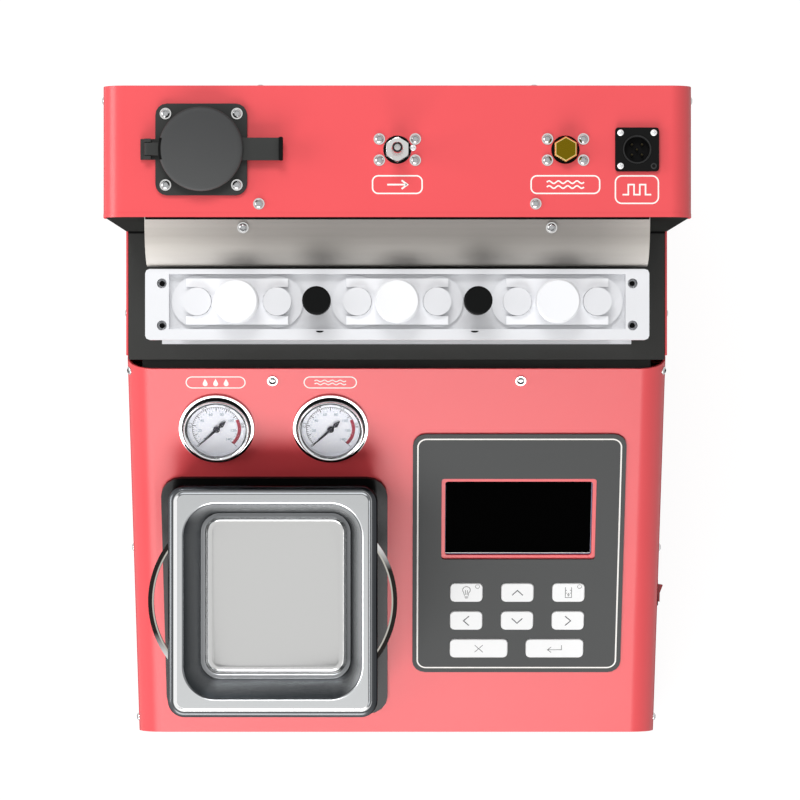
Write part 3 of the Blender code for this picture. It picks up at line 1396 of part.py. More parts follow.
def make_rocker(frame_look, rocker_look):
    """The switch frame in the side wall and the rocker that tips in it."""
    place = rocker_place()
    ledge = 2 * ROCKER_FRAME_LEDGE
    inner_length = ROCKER_BEZEL_LENGTH - ledge - 2 * ROCKER_WALL
    inner_width = ROCKER_BEZEL_WIDTH - ledge - 2 * ROCKER_WALL
    bezel_top = GAP + ROCKER_BEZEL
    bezel = box_mesh((GAP, bezel_top), around(0, ROCKER_BEZEL_LENGTH), around(0, ROCKER_BEZEL_WIDTH))
    housing = add_part("rocker_frame", bezel, frame_look, place=place)
    body = box_mesh(
        (-ROCKER_BODY_DEPTH, GAP + OVERLAP),
        around(0, ROCKER_BEZEL_LENGTH - ledge),
        around(0, ROCKER_BEZEL_WIDTH - ledge),
    )
    cavity = box_mesh(
        (bezel_top - ROCKER_CAVITY_DEPTH, bezel_top + OVERRUN),
        around(0, inner_length),
        around(0, inner_width),
    )
    join(housing, add_tool("rocker_body", body, place=place))
    cut(housing, add_tool("rocker_cavity", cavity, place=place))
    half = inner_length / 2 - ROCKER_END_CLEARANCE
    thickness = inner_width / 2 - ROCKER_CLEARANCE
    section = [
        (-ROCKER_HEEL, -half),
        (ROCKER_CROWN, -half),
        (ROCKER_CROWN - ROCKER_DISH, 0),
        (ROCKER_CROWN, half),
        (-ROCKER_HEEL, half),
        (-ROCKER_HEEL - ROCKER_HEEL, 0),
    ]
    mesh = outline_mesh([section], -thickness, thickness, plain=True)
    add_part("rocker", mesh, rocker_look, place=place, turn=(0, 0, -ROCKER_TILT))


def make_reservoir(look):
    """The fluid tank under the filler, hung on the back of the backboard."""
    front = SEAM_Y + GAP
    back = front + RESERVOIR_DEPTH
    top = TOP_Z - RESERVOIR_DROP
    low = top - RESERVOIR_HEIGHT
    wall = RESERVOIR_WALL
    left, right = around(FILLER_X, RESERVOIR_WIDTH)
    tank = add_part("fuel_reservoir", box_mesh((left, right), (front, back), (low, top)), look)
    hollow = box_mesh((left + wall, right - wall), (front + wall, back - wall), (low + wall, top - wall))
    mouth = drum_mesh(
        FILLER_TUBE_RADIUS + HOLE_CLEARANCE, top - OVERRUN, top + OVERRUN, TURN_STEPS, (FILLER_X, FITTING_Y)
    )
    cut(tank, add_tool("reservoir_hollow", hollow), add_tool("reservoir_mouth", mouth))


def make_pump(look):
    """The fluid pump, a turned body on a round base."""
    low = TRAY_TOP_Z + GAP
    top = low + PUMP_HEIGHT
    profile = [
        (0, top + PUMP_NECK),
        (PUMP_NECK_RADIUS, top + PUMP_NECK),
        (PUMP_NECK_RADIUS, top),
        (PUMP_RADIUS, top),
        (PUMP_RADIUS, low + PUMP_BASE),
        (PUMP_BASE_RADIUS, low + PUMP_BASE),
        (PUMP_BASE_RADIUS, low),
        (0, low),
    ]
    place = (PUMP_X, BACK_Y - PUMP_BACK, 0)
    add_part("fuel_pump", turned_mesh(profile, SMALL_TURN_STEPS), look, place=place)


def make_power_supply(look):
    """The boxed supply on the tray, with a lower terminal end at the back."""
    low = TRAY_TOP_Z + GAP
    width = around(SUPPLY_X, SUPPLY_WIDTH)
    front, back = around(-SUPPLY_SETBACK, SUPPLY_LENGTH)
    split = back - SUPPLY_TERMINALS
    box = box_mesh(width, (front, split), (low, low + SUPPLY_HEIGHT))
    supply = add_part("power_supply", box, look)
    ledge = box_mesh(width, (split - OVERLAP, back), (low, low + SUPPLY_TERMINAL_HEIGHT))
    join(supply, add_tool("supply_terminals", ledge))


def make_power_inlet(look):
    """The mains inlet on the rear panel, with its open socket."""
    middle = (INLET_X, BASE_Z + INLET_RISE)
    outer = BACK_Y + GAP + INLET_FLANGE
    plate = rectangle(INLET_FLANGE_WIDTH, INLET_FLANGE_HEIGHT, INLET_CORNER, EDGE_STEPS, middle)
    inlet = add_part("power_inlet", front_view_mesh([plate], BACK_Y + GAP, outer, plain=True), look)
    body = rectangle(INLET_BODY_WIDTH, INLET_BODY_HEIGHT, INLET_WALL, EDGE_STEPS, middle)
    inside = outer - INLET_BODY_DEPTH
    join(inlet, add_tool("inlet_body", front_view_mesh([body], inside, BACK_Y + GAP + OVERLAP, plain=True)))
    socket = box_mesh(
        around(INLET_X, INLET_BODY_WIDTH - 2 * INLET_WALL),
        (outer - INLET_SOCKET_DEPTH, outer + OVERRUN),
        around(BASE_Z + INLET_RISE, INLET_BODY_HEIGHT - 2 * INLET_WALL),
    )
    cut(inlet, add_tool("inlet_socket", socket))


clear_scene()
PARTS = add_collection("fuel_injector_cleaner")
TOOLS = add_collection("cutters")
RED = finish("red_enamel", (0.82, 0.12, 0.13), 0.40)
DARK_GREY = finish("dark_grey_enamel", (0.052, 0.052, 0.050), 0.50)
BLACK = finish("black_plastic", (0.020, 0.020, 0.020), 0.45)
RUBBER = finish("rubber", (0.045, 0.045, 0.047), 0.70)
STAINLESS = finish("stainless_steel", (0.60, 0.60, 0.58), 0.28, 1.0)
SILVER = finish("anodised_aluminium", (0.85, 0.86, 0.88), 0.35, 0.6)
WHITE = finish("white_plastic", (0.86, 0.87, 0.90), 0.40)
GLASS = finish("glass", (0.90, 0.95, 0.95), 0.05, 0.0, 0.35)
CHROME = finish("chrome", (0.80, 0.80, 0.80), 0.12, 1.0)
BRASS = finish("brass", (0.36, 0.27, 0.06), 0.30, 1.0)
KEYPAD_GREY = finish("keypad_grey", (0.095, 0.095, 0.10), 0.50)
SCREEN = finish("display_glass", (0.004, 0.004, 0.006), 0.15)
BOARD_GREEN = finish("circuit_board", (0.02, 0.16, 0.07), 0.55)
ZINC = finish("zinc_plated_steel", (0.55, 0.56, 0.58), 0.40, 1.0)
LAMP_WHITE = finish("lamp_white", (0.92, 0.94, 0.96), 0.40)

PANEL = add_panel_frame()
make_base_tray(RED)
make_feet(RUBBER)
make_console_cover(RED, PANEL)
make_tower_cover(RED)
make_bay_liner(DARK_GREY)
make_rear_panel(RED)
make_lamp(STAINLESS, LAMP_WHITE)
make_rack_plates(SILVER)
make_rack_uprights(SILVER)
make_glass_tubes(GLASS)
make_clamps(WHITE, WHITE)
make_guide_knobs(BLACK)
make_tank_surround(BLACK, PANEL)
make_tank(STAINLESS, ZINC)
make_gauges(CHROME, BLACK, GLASS, PANEL)
make_keypad(KEYPAD_GREY, PANEL)
make_keys(WHITE, PANEL)
make_display(SCREEN, PANEL)
make_control_board(BOARD_GREEN, PANEL)
make_filler_neck(RUBBER)
make_filler_cap(RUBBER)
make_outlet_fitting(ZINC)
make_air_fitting(BRASS)
make_pulse_socket(BLACK)
make_rocker(BLACK, RED)
make_reservoir(WHITE)
make_pump(ZINC)
make_power_supply(ZINC)
make_power_inlet(BLACK)
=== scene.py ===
# %% [markdown]
# # A fuel injector cleaner and tester
# The machine stands on a bench. A red tower at the back holds the fluid and carries its
# fittings. Six glass tubes stand in a rack in front of it, under a lamp. The sloped console
# carries two pressure gauges, a steel tank that shakes injectors clean and a keypad.
# The frame comes first: it holds every solid of the machine, in metres, standing at the
# origin. The lesson dresses that frame with finishes and with the small parts that sit on it.

# %% Load the frame
import json
import math

import bmesh
import bpy
from mathutils import Matrix, Vector

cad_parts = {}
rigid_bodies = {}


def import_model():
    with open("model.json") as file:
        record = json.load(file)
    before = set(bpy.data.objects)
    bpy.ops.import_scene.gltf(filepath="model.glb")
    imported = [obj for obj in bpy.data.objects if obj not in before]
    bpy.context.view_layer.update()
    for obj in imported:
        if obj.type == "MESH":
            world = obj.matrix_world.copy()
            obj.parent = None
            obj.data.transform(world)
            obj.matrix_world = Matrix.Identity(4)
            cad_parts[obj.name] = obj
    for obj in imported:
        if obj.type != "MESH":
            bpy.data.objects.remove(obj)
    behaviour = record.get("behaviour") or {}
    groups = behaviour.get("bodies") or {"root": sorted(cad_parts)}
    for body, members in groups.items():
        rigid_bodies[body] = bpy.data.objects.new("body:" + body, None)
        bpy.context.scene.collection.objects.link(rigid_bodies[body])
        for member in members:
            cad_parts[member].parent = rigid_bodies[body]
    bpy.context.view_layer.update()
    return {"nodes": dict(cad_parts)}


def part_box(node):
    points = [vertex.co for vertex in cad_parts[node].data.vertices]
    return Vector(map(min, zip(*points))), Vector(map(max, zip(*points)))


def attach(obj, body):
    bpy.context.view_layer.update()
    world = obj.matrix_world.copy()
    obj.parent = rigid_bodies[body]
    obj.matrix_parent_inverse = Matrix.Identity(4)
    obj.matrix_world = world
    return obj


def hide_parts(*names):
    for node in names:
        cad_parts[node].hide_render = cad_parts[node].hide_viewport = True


for item in list(bpy.data.objects):
    bpy.data.objects.remove(item, do_unlink=True)
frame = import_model()
solids = frame["nodes"]

# %% [markdown]
# ## Where things are
# Everything small is laid out on one of a few faces: the top of the tower, the slope of the
# console, the two sides, the front and the back. Each face gets a matrix. Its local X and Y
# run along the face and its local Z points out of it, so a screw or a printed line is made
# flat at the origin and then carried to its face. The frame's own boxes give the levels.

# %% Faces of the machine
MM = 0.001
SLOPE = math.radians(26.7163)
TOP_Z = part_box("tower_cover")[1].z
BACK_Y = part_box("tower_cover")[1].y
SIDE_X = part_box("tower_cover")[1].x
FRONT_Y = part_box("console_cover")[0].y
DECK_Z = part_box("console_cover")[1].z
SLOPE_TOP_Y = 46.1 * MM
FITTING_Y = 197.2 * MM

tower_top = Matrix.Translation((0, 0, TOP_Z))
slope_face = Matrix.Translation((0, SLOPE_TOP_Y, DECK_Z)) @ Matrix.Rotation(SLOPE, 4, "X")
right_face = Matrix.Translation((SIDE_X, 0, 0)) @ Matrix.Rotation(math.radians(90), 4, "Y")
left_face = Matrix.Translation((-SIDE_X, 0, 0)) @ Matrix.Rotation(math.radians(-90), 4, "Y")
back_face = Matrix.Translation((0, BACK_Y, 0)) @ Matrix.Rotation(math.radians(-90), 4, "X")
front_face = Matrix.Translation((0, FRONT_Y, 0)) @ Matrix.Rotation(math.radians(90), 4, "X")
print("tower top at %.3f m, deck at %.3f m" % (TOP_Z, DECK_Z))

# %% [markdown]
# ## Colours and nodes
# A colour is written the way a paint chart or a web page gives it, as sRGB hex. The
# renderer works in linear light, so one function converts it. Another small function adds
# a shader node, sets its options and links its sockets in one call.

# %% Two small helpers for materials
def linear(hex_color):
    """Linear RGBA of an sRGB hex colour."""
    channels = [int(hex_color[start:start + 2], 16) / 255 for start in (1, 3, 5)]
    light = [c / 12.92 if c <= 0.04045 else ((c + 0.055) / 1.055) ** 2.4 for c in channels]
    return (*light, 1.0)


def add_node(tree, kind, links=None, **options):
    """Add a node, set its options, and link or set the sockets named in links."""
    node = tree.nodes.new(kind)
    for option, value in options.items():
        setattr(node, option, value)
    for socket, source in (links or {}).items():
        if isinstance(source, bpy.types.NodeSocket):
            tree.links.new(source, node.inputs[socket])
        else:
            node.inputs[socket].default_value = source
    return node


def new_finish(name, hex_color, roughness, metallic=0.0, ior=1.5, **extra):
    """A material with one Principled shader. Extra names are its other sockets."""
    look = bpy.data.materials.new(name)
    look.use_nodes = True
    shader = look.node_tree.nodes["Principled BSDF"]
    shader.inputs["Base Color"].default_value = linear(hex_color)
    shader.inputs["Roughness"].default_value = roughness
    shader.inputs["Metallic"].default_value = metallic
    shader.inputs["IOR"].default_value = ior
    for socket, value in extra.items():
        shader.inputs[socket.replace("_", " ")].default_value = value
    return look


print("red of the housing in linear light:", [round(c, 3) for c in linear("#DE4146")[:3]])

# %% [markdown]
# ## Patterns
# A finish is more than a colour. Powder coat has a soft orange peel, brushed steel has long
# scratches, moulded plastic has a spark-eroded grain. Each is a noise in the object's own
# coordinates. Its scale is one over the real size of a grain, so a 1.5 mm orange peel
# is a noise of scale 1 / 0.0015. The same noise can move the surface (bump), the gloss
# (roughness) and, a little, the colour. A stretch makes grains into scratches.

# %% Grain and colour variation
def grain(look, size_mm, height_mm, stretch=(1, 1, 1), gloss=None, tint=None, detail=2.0):
    """Give a finish a grain of a real size: a bump, and a range of gloss and of colour."""
    tree = look.node_tree
    shader = tree.nodes["Principled BSDF"]
    place = add_node(tree, "ShaderNodeTexCoord")
    scaled = add_node(tree, "ShaderNodeMapping", {"Vector": place.outputs["Object"], "Scale": stretch})
    noise = add_node(
        tree, "ShaderNodeTexNoise",
        {"Vector": scaled.outputs["Vector"], "Scale": 1 / (size_mm * MM), "Detail": detail, "Roughness": 0.5},
    )
    height = noise.outputs["Fac"]
    bump = add_node(tree, "ShaderNodeBump", {"Height": height, "Strength": 1.0, "Distance": height_mm * MM})
    tree.links.new(bump.outputs["Normal"], shader.inputs["Normal"])
    if gloss:
        spread = add_node(tree, "ShaderNodeMapRange", {"Value": height, "To Min": gloss[0], "To Max": gloss[1]})
        tree.links.new(spread.outputs["Result"], shader.inputs["Roughness"])
    if tint:
        cloud = add_node(
            tree, "ShaderNodeTexNoise",
            {"Vector": place.outputs["Object"], "Scale": 1 / (tint[2] * MM), "Detail": 3.0},
        )
        mix = add_node(
            tree, "ShaderNodeMix",
            {"Factor": cloud.outputs["Fac"], "A": linear(tint[0]), "B": linear(tint[1])},
            data_type="RGBA",
        )
        tree.links.new(mix.outputs[2], shader.inputs["Base Color"])
    return look


def paint_light_across(look, axis, stops):
    """Paint light and shade onto a finish through colours at places, in millimetres, along one axis.

    On a finish that already varies, the blend darkens what is there."""
    tree = look.node_tree
    base = tree.nodes["Principled BSDF"].inputs["Base Color"]
    first, last = stops[0][0], stops[-1][0]
    place = add_node(tree, "ShaderNodeTexCoord")
    split = add_node(tree, "ShaderNodeSeparateXYZ", {"Vector": place.outputs["Object"]})
    share = add_node(
        tree, "ShaderNodeMapRange",
        {"Value": split.outputs[axis], "From Min": first * MM, "From Max": last * MM},
    )
    blend = add_node(tree, "ShaderNodeValToRGB", {"Fac": share.outputs["Result"]})
    marks = blend.color_ramp.elements
    for number, (spot, color) in enumerate(stops):
        position = (spot - first) / (last - first)
        mark = marks[number] if number < 1 else marks[-1] if number == len(stops) - 1 else marks.new(position)
        mark.position = position
        mark.color = linear(color)
    color = blend.outputs["Color"]
    if base.is_linked:
        color = add_node(
            tree, "ShaderNodeMix", {"Factor": 1.0, "A": base.links[0].from_socket, "B": color},
            data_type="RGBA", blend_type="MULTIPLY",
        ).outputs[2]
    tree.links.new(color, base)


def dull_at_a_glance(look, level):
    """Let the gloss of a rough coat fade at glancing angles, where its own grain shades it."""
    tree = look.node_tree
    facing = add_node(tree, "ShaderNodeLayerWeight", {"Blend": 0.5})
    fade = add_node(
        tree, "ShaderNodeMapRange",
        {"Value": facing.outputs["Facing"], "From Min": 0.35, "From Max": 0.85, "To Min": level, "To Max": 0.0},
    )
    tree.links.new(fade.outputs["Result"], tree.nodes["Principled BSDF"].inputs["Specular IOR Level"])
    return look


print("patterns are sized in millimetres")

# %% [markdown]
# ## Painted steel
# The housing is thin steel sheet, cut, bent and powder coated. The powder melts into a
# thick, slightly wavy skin with a half gloss, so lights show as soft patches. The red coat
# is smooth, with an orange peel of about 2 mm. The dark coat of the tube bay is finer and
# duller, as fine sand.

# %% Powder coats
red_coat = new_finish("red_powder_coated_steel", "#EB5257", 0.33)
grain(red_coat, 2.2, 0.012, gloss=(0.28, 0.38), tint=("#EB5257", "#E84D53", 60))
dull_at_a_glance(red_coat, 0.5)
dark_coat = new_finish("dark_grey_powder_coated_steel", "#343433", 0.50, Specular_IOR_Level=0.25)
grain(dark_coat, 0.7, 0.03, gloss=(0.45, 0.58), tint=("#363635", "#31312F", 25))
dull_at_a_glance(dark_coat, 0.25)
print(red_coat.name, dark_coat.name)

# %% [markdown]
# ## Bare metals
# The tank is deep drawn stainless steel with a satin finish: a metal with a little
# roughness and very fine scratches. The hood is the same sheet, brushed along its length,
# and a shade darker. The rack plates are aluminium, blasted and anodised, which makes
# them matt and nearly white. The screws and the gauge rings are polished and plated.
# A metal's colour is its reflection, so its base colour is what it mirrors of white light.

# %% Metals
satin_steel = new_finish("satin_stainless_steel", "#CBCBCA", 0.15, metallic=1.0)
grain(satin_steel, 0.5, 0.0012, stretch=(1, 0.06, 1), gloss=(0.12, 0.18))
brushed_steel = new_finish("lacquered_brushed_steel", "#8A857F", 0.6, metallic=0.4)
grain(brushed_steel, 0.45, 0.004, stretch=(0.03, 1, 1), gloss=(0.55, 0.66))
# Painted light and shade on the hood: it is painted lighter at its back edge, at its foot and towards both ends, and
# darker in between.
HOOD_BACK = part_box("light_hood")[1].y / MM
hood_painted_light = {0: "#EBE6E0", 4: "#D1CCC6", 8: "#B4AFA9", 13: "#A7A29C", 18: "#AEA9A3", 33: "#E4DFD9"}
paint_light_across(brushed_steel, "Y", [(HOOD_BACK - depth, hood_painted_light[depth]) for depth in sorted(hood_painted_light, reverse=True)])
paint_light_across(brushed_steel, "X", [
    (-177, "#FFFFFF"), (-141, "#E3E3E3"), (-99, "#C2C2C2"), (-49, "#B9B9B9"), (120, "#B9B9B9"), (141, "#C2C2C2"),
    (177, "#E8E8E8"),
])
# Painted highlight: this light steel serves only the inner edge of the tank's strap handles.
strap_edge_painted_highlight = new_finish("steel_strap_edge_painted_highlight", "#B9B6AE", 0.12, metallic=1.0)
grain(strap_edge_painted_highlight, 1.5, 0.002, gloss=(0.09, 0.16))
chrome_plate = new_finish("chrome_plated_brass", "#E3E4E6", 0.07, metallic=1.0)
grain(chrome_plate, 3.0, 0.001, gloss=(0.05, 0.10))
nickel_plate = new_finish("nickel_plated_steel", "#CFCFCE", 0.18, metallic=1.0)
grain(nickel_plate, 0.8, 0.004, gloss=(0.13, 0.24))
zinc_plate = new_finish("zinc_plated_steel", "#A9ACB0", 0.35, metallic=1.0)
grain(zinc_plate, 1.2, 0.006, gloss=(0.28, 0.45), tint=("#AEB1B4", "#9FA3A8", 9))
anodised = new_finish("blasted_anodised_aluminium", "#DCDDE0", 0.45, metallic=0.6)
grain(anodised, 0.35, 0.010, gloss=(0.36, 0.48))
brass = new_finish("turned_brass", "#6F5D0D", 0.26, metallic=1.0)
grain(brass, 0.4, 0.003, gloss=(0.20, 0.32))
print("metals:", satin_steel.name, brushed_steel.name, anodised.name, brass.name)

# %% [markdown]
# ## Plastics, rubber and glass
# The knobs, plugs and clamp bars are white acetal, a dense plastic that light enters a
# little way, which softens its shadows. The filler parts are moulded rubber. The display,
# the gauge lenses and the tubes are glass: clear, smooth and bending light by their IOR.

# %% Plastics, rubber and glass
white_acetal = new_finish("turned_white_acetal", "#F2F3F6", 0.36, ior=1.48)
grain(white_acetal, 0.8, 0.004, gloss=(0.30, 0.42))
white_key = new_finish("white_silicone_key", "#F4F4F4", 0.48, ior=1.43)
grain(white_key, 0.5, 0.006, gloss=(0.42, 0.55))
black_abs = new_finish("moulded_black_abs", "#0A0A0A", 0.38, ior=1.53, Specular_IOR_Level=0.16)
grain(black_abs, 0.6, 0.02, gloss=(0.36, 0.50))
surround_black = new_finish("polished_black_abs", "#131212", 0.22, ior=1.53, Specular_IOR_Level=0.22)
grain(surround_black, 1.5, 0.006, gloss=(0.18, 0.28))
socket_black = new_finish("glass_filled_black_nylon", "#090909", 0.5, ior=1.53, Specular_IOR_Level=0.08)
grain(socket_black, 0.5, 0.01, gloss=(0.45, 0.58))
knob_black = new_finish("turned_black_acetal", "#0C0D0D", 0.40, ior=1.48, Specular_IOR_Level=0.07)
grain(knob_black, 0.5, 0.006, gloss=(0.34, 0.46))
rubber = new_finish("moulded_black_rubber", "#3B3C3D", 0.55, ior=1.52, Specular_IOR_Level=0.35)
grain(rubber, 0.9, 0.02, gloss=(0.48, 0.64))
# Painted shade: the cap dome is painted lighter towards the front and darker towards the back.
paint_light_across(rubber, "Y", [(-29, "#434444"), (29, "#2B2C2D")])
neck_rubber = new_finish("pressed_black_rubber", "#2B2C2B", 0.6, ior=1.52, Specular_IOR_Level=0.25)
grain(neck_rubber, 0.9, 0.02, gloss=(0.52, 0.68), tint=("#2E2F2E", "#272827", 20))
foot_rubber = new_finish("foot_rubber", "#1B1B1B", 0.75, ior=1.52)
grain(foot_rubber, 1.1, 0.04, gloss=(0.68, 0.82))
label_film = new_finish("printed_polyester_label", "#505151", 0.50, ior=1.57, Specular_IOR_Level=0.1)
grain(label_film, 0.4, 0.006, gloss=(0.42, 0.52))
red_rocker = new_finish("moulded_red_polycarbonate", "#A81820", 0.22, ior=1.58)
grain(red_rocker, 2.0, 0.004, gloss=(0.18, 0.27))
tube_glass = new_finish("borosilicate_glass", "#F4FAF8", 0.02, ior=1.47, Transmission_Weight=1.0)
grain(tube_glass, 14.0, 0.01, stretch=(1, 1, 0.1), gloss=(0.01, 0.03))
lens_glass = new_finish("coated_gauge_lens", "#FFFFFF", 0.02, ior=1.47, Transmission_Weight=1.0, Specular_Tint=linear("#141416"))
grain(lens_glass, 20.0, 0.002, gloss=(0.01, 0.03))
screen_glass = new_finish("black_display_glass", "#000000", 0.2, ior=1.52, Specular_IOR_Level=0.002)
grain(screen_glass, 6.0, 0.001, gloss=(0.06, 0.11))
lamp_diffuser = new_finish("opal_polycarbonate", "#EEF1F2", 0.45, ior=1.58)
grain(lamp_diffuser, 1.0, 0.004, gloss=(0.40, 0.50))
circuit_board = new_finish("green_circuit_board", "#1C5B33", 0.40, ior=1.55)
grain(circuit_board, 1.5, 0.01, gloss=(0.34, 0.48), tint=("#1F6338", "#164A2A", 12))
tank_plastic = new_finish("natural_polyethylene", "#E4E3DA", 0.45, ior=1.51)
grain(tank_plastic, 2.0, 0.02, gloss=(0.38, 0.52))
print("plastics and glass are ready")

# %% [markdown]
# ## Dressing the frame
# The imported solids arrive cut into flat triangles. Their meshes must stay as they are, so
# modifiers do the softening: a weld closes the seams, a planar decimation merges the flat
# triangles, a small bevel rounds each edge as pressing or tumbling would, and a
# geometry node group shades the round faces smooth and keeps the true edges sharp. The
# shading is weighted by face area, so wide flat sheets stay flat beside their bends.

# %% Softening the solids
SHARP_ANGLE = math.radians(32)


def smoothing_nodes():
    """A geometry node group that shades smooth, apart from edges over the sharp angle."""
    group = bpy.data.node_groups.new("edge_smoothing", "GeometryNodeTree")
    group.interface.new_socket("Geometry", in_out="INPUT", socket_type="NodeSocketGeometry")
    group.interface.new_socket("Geometry", in_out="OUTPUT", socket_type="NodeSocketGeometry")
    start = add_node(group, "NodeGroupInput")
    plain = add_node(
        group, "GeometryNodeRemoveAttribute", {"Geometry": start.outputs[0], "Name": "custom_normal"}
    )
    soft = add_node(group, "GeometryNodeSetShadeSmooth", {"Geometry": plain.outputs[0]}, domain="FACE")
    angle = add_node(group, "GeometryNodeInputMeshEdgeAngle")
    steep = add_node(
        group, "FunctionNodeCompare", {"A": angle.outputs["Unsigned Angle"], "B": SHARP_ANGLE},
        operation="GREATER_THAN",
    )
    crisp = add_node(
        group, "GeometryNodeSetShadeSmooth",
        {"Geometry": soft.outputs[0], "Selection": steep.outputs[0], "Shade Smooth": False}, domain="EDGE",
    )
    add_node(group, "NodeGroupOutput", {0: crisp.outputs[0]})
    return group


EDGE_SMOOTHING = smoothing_nodes()


def soften(piece, edge_mm=0.0, segments=2, from_frame=True):
    """Round the edges of a piece and shade it smooth between them."""
    if from_frame:
        weld = piece.modifiers.new("weld_seams", "WELD")
        weld.merge_threshold = 0.001 * MM
        flat = piece.modifiers.new("merge_flats", "DECIMATE")
        flat.decimate_type = "DISSOLVE"
        flat.angle_limit = math.radians(0.6)
    if edge_mm:
        bevel = piece.modifiers.new("round_edges", "BEVEL")
        bevel.width = edge_mm * MM
        bevel.segments = segments
        bevel.limit_method = "ANGLE"
        bevel.angle_limit = SHARP_ANGLE
    shade = piece.modifiers.new("edge_smoothing", "NODES")
    shade.node_group = EDGE_SMOOTHING
    even = piece.modifiers.new("flat_faces_stay_flat", "WEIGHTED_NORMAL")
    even.keep_sharp = True
    return piece


print("softening tools ready")

# %% One finish for each solid
DRESS = {
    "red": (red_coat, 0.3, ("console_cover", "tower_cover", "rear_panel")),
    "tray": (dark_coat, 0.3, ("base_tray", "bay_liner")),
    "hood": (brushed_steel, 0.25, ("light_hood",)),
    "rack": (anodised, 0.5, ("rack_top_plate", "rack_bottom_plate", "rack_upright_left", "rack_upright_right")),
    "bars": (white_acetal, 0.4, ("clamp_bar_1", "clamp_bar_2", "clamp_bar_3")),
    "knobs": (white_acetal, 0.0, ("clamp_knob_1", "clamp_knob_2", "clamp_knob_3")),
    "guides": (knob_black, 0.0, ("guide_knob_left", "guide_knob_right")),
    "tubes": (tube_glass, 0.0, tuple("glass_tube_%d" % n for n in range(1, 7))),
    "feet": (foot_rubber, 0.4, ("foot_front_left", "foot_front_right", "foot_back_left", "foot_back_right")),
    "black": (black_abs, 0.3, ("rocker_frame", "power_inlet")),
    "surround": (surround_black, 1.2, ("tank_surround",)),
    "socket": (socket_black, 0.25, ("pulse_socket",)),
    "needles": (knob_black, 0.0, ("gauge_needle_fuel", "gauge_needle_air")),
    "lenses": (lens_glass, 0.0, ("gauge_lens_fuel", "gauge_lens_air")),
    "gauges": (chrome_plate, 0.0, ("gauge_case_fuel", "gauge_case_air")),
    "label": (label_film, 0.15, ("keypad_plate",)),
    "keys": (white_key, 0.2, tuple("key_" + n for n in ("light", "up", "drain", "left", "down", "right", "exit", "enter"))),
    "screen": (screen_glass, 0.3, ("display_module",)),
    "board": (circuit_board, 0.0, ("control_board",)),
    "filler": (neck_rubber, 0.4, ("filler_neck", "filler_cap")),
    "outlet": (nickel_plate, 0.0, ("outlet_fitting",)),
    "air": (brass, 0.0, ("air_fitting",)),
    "rocker": (red_rocker, 0.4, ("rocker",)),
    "lamp": (lamp_diffuser, 0.8, ("lamp_bar",)),
    "reservoir": (tank_plastic, 1.5, ("fuel_reservoir",)),
    "inside": (zinc_plate, 0.5, ("fuel_pump", "power_supply", "transducer")),
    "tank": (satin_steel, 0.0, ("tank_pan",)),
}
for look, edge, names in DRESS.values():
    for name in names:
        solids[name].data.materials.clear()
        solids[name].data.materials.append(look)
        soften(solids[name], edge)
dressed = {name for group in DRESS.values() for name in group[2]}
print("dressed", len(dressed), "of", len(solids), sorted(set(solids) - dressed))

# %% [markdown]
# ## Floor, lights and camera
# The picture is taken from straight above, as a product sheet would show the front of the
# machine laid open. The floor is white for the camera and for reflections, and plainer for
# the light that bounces off it. One large soft lamp stands in front of the machine and
# another hangs to the left, which brightens the left bends and leaves the right ones dark.

# %% Floor and world
FLOOR_SIZE = 30.0


def for_the_eye(tree):
    """1 for a ray of the camera, of a reflection or through glass, and 0 for other light."""
    path = add_node(tree, "ShaderNodeLightPath")
    first = add_node(
        tree, "ShaderNodeMath", {0: path.outputs["Is Camera Ray"], 1: path.outputs["Is Glossy Ray"]},
        operation="MAXIMUM",
    )
    both = add_node(
        tree, "ShaderNodeMath", {0: first.outputs[0], 1: path.outputs["Is Transmission Ray"]},
        operation="MAXIMUM",
    )
    return both.outputs[0]


floor_mesh = bpy.data.meshes.new("floor")
half = FLOOR_SIZE / 2
floor_mesh.from_pydata([(-half, -half, 0), (half, -half, 0), (half, half, 0), (-half, half, 0)], [], [(0, 1, 2, 3)])
floor = bpy.data.objects.new("floor", floor_mesh)
bpy.context.scene.collection.objects.link(floor)
floor_look = new_finish("pale_floor", "#C8C8C8", 0.9, Specular_IOR_Level=0.0, Emission_Color=(1.0, 1.0, 1.0, 1.0))
tree = floor_look.node_tree
shade = add_node(
    tree, "ShaderNodeMix", {"Factor": for_the_eye(tree), "A": linear("#A8A8A8"), "B": linear("#606060")},
    data_type="RGBA",
)
glow = add_node(tree, "ShaderNodeMapRange", {"Value": for_the_eye(tree), "To Min": 0.0, "To Max": 0.93})
tree.links.new(shade.outputs[2], tree.nodes["Principled BSDF"].inputs["Base Color"])
tree.links.new(glow.outputs["Result"], tree.nodes["Principled BSDF"].inputs["Emission Strength"])
floor_mesh.materials.append(floor_look)

world = bpy.data.worlds.new("studio")
bpy.context.scene.world = world
world.use_nodes = True
tree = world.node_tree
backdrop = tree.nodes["Background"]
level = add_node(
    tree, "ShaderNodeMapRange", {"Value": for_the_eye(tree), "To Min": 0.36, "To Max": 1.0}
)
tree.links.new(level.outputs["Result"], backdrop.inputs["Strength"])
backdrop.inputs["Color"].default_value = (1.0, 1.0, 1.0, 1.0)
print("floor and world are white to the eye")

# %% Lamps and camera
def soft_lamp(name, place, target, width, depth, watts):
    """An area lamp at a place, turned to face a target."""
    lamp = bpy.data.lights.new(name, "AREA")
    lamp.shape = "RECTANGLE"
    lamp.size = width
    lamp.size_y = depth
    lamp.energy = watts
    item = bpy.data.objects.new(name, lamp)
    bpy.context.scene.collection.objects.link(item)
    item.location = place
    item.rotation_euler = (Vector(target) - Vector(place)).to_track_quat("-Z", "Y").to_euler()
    return item


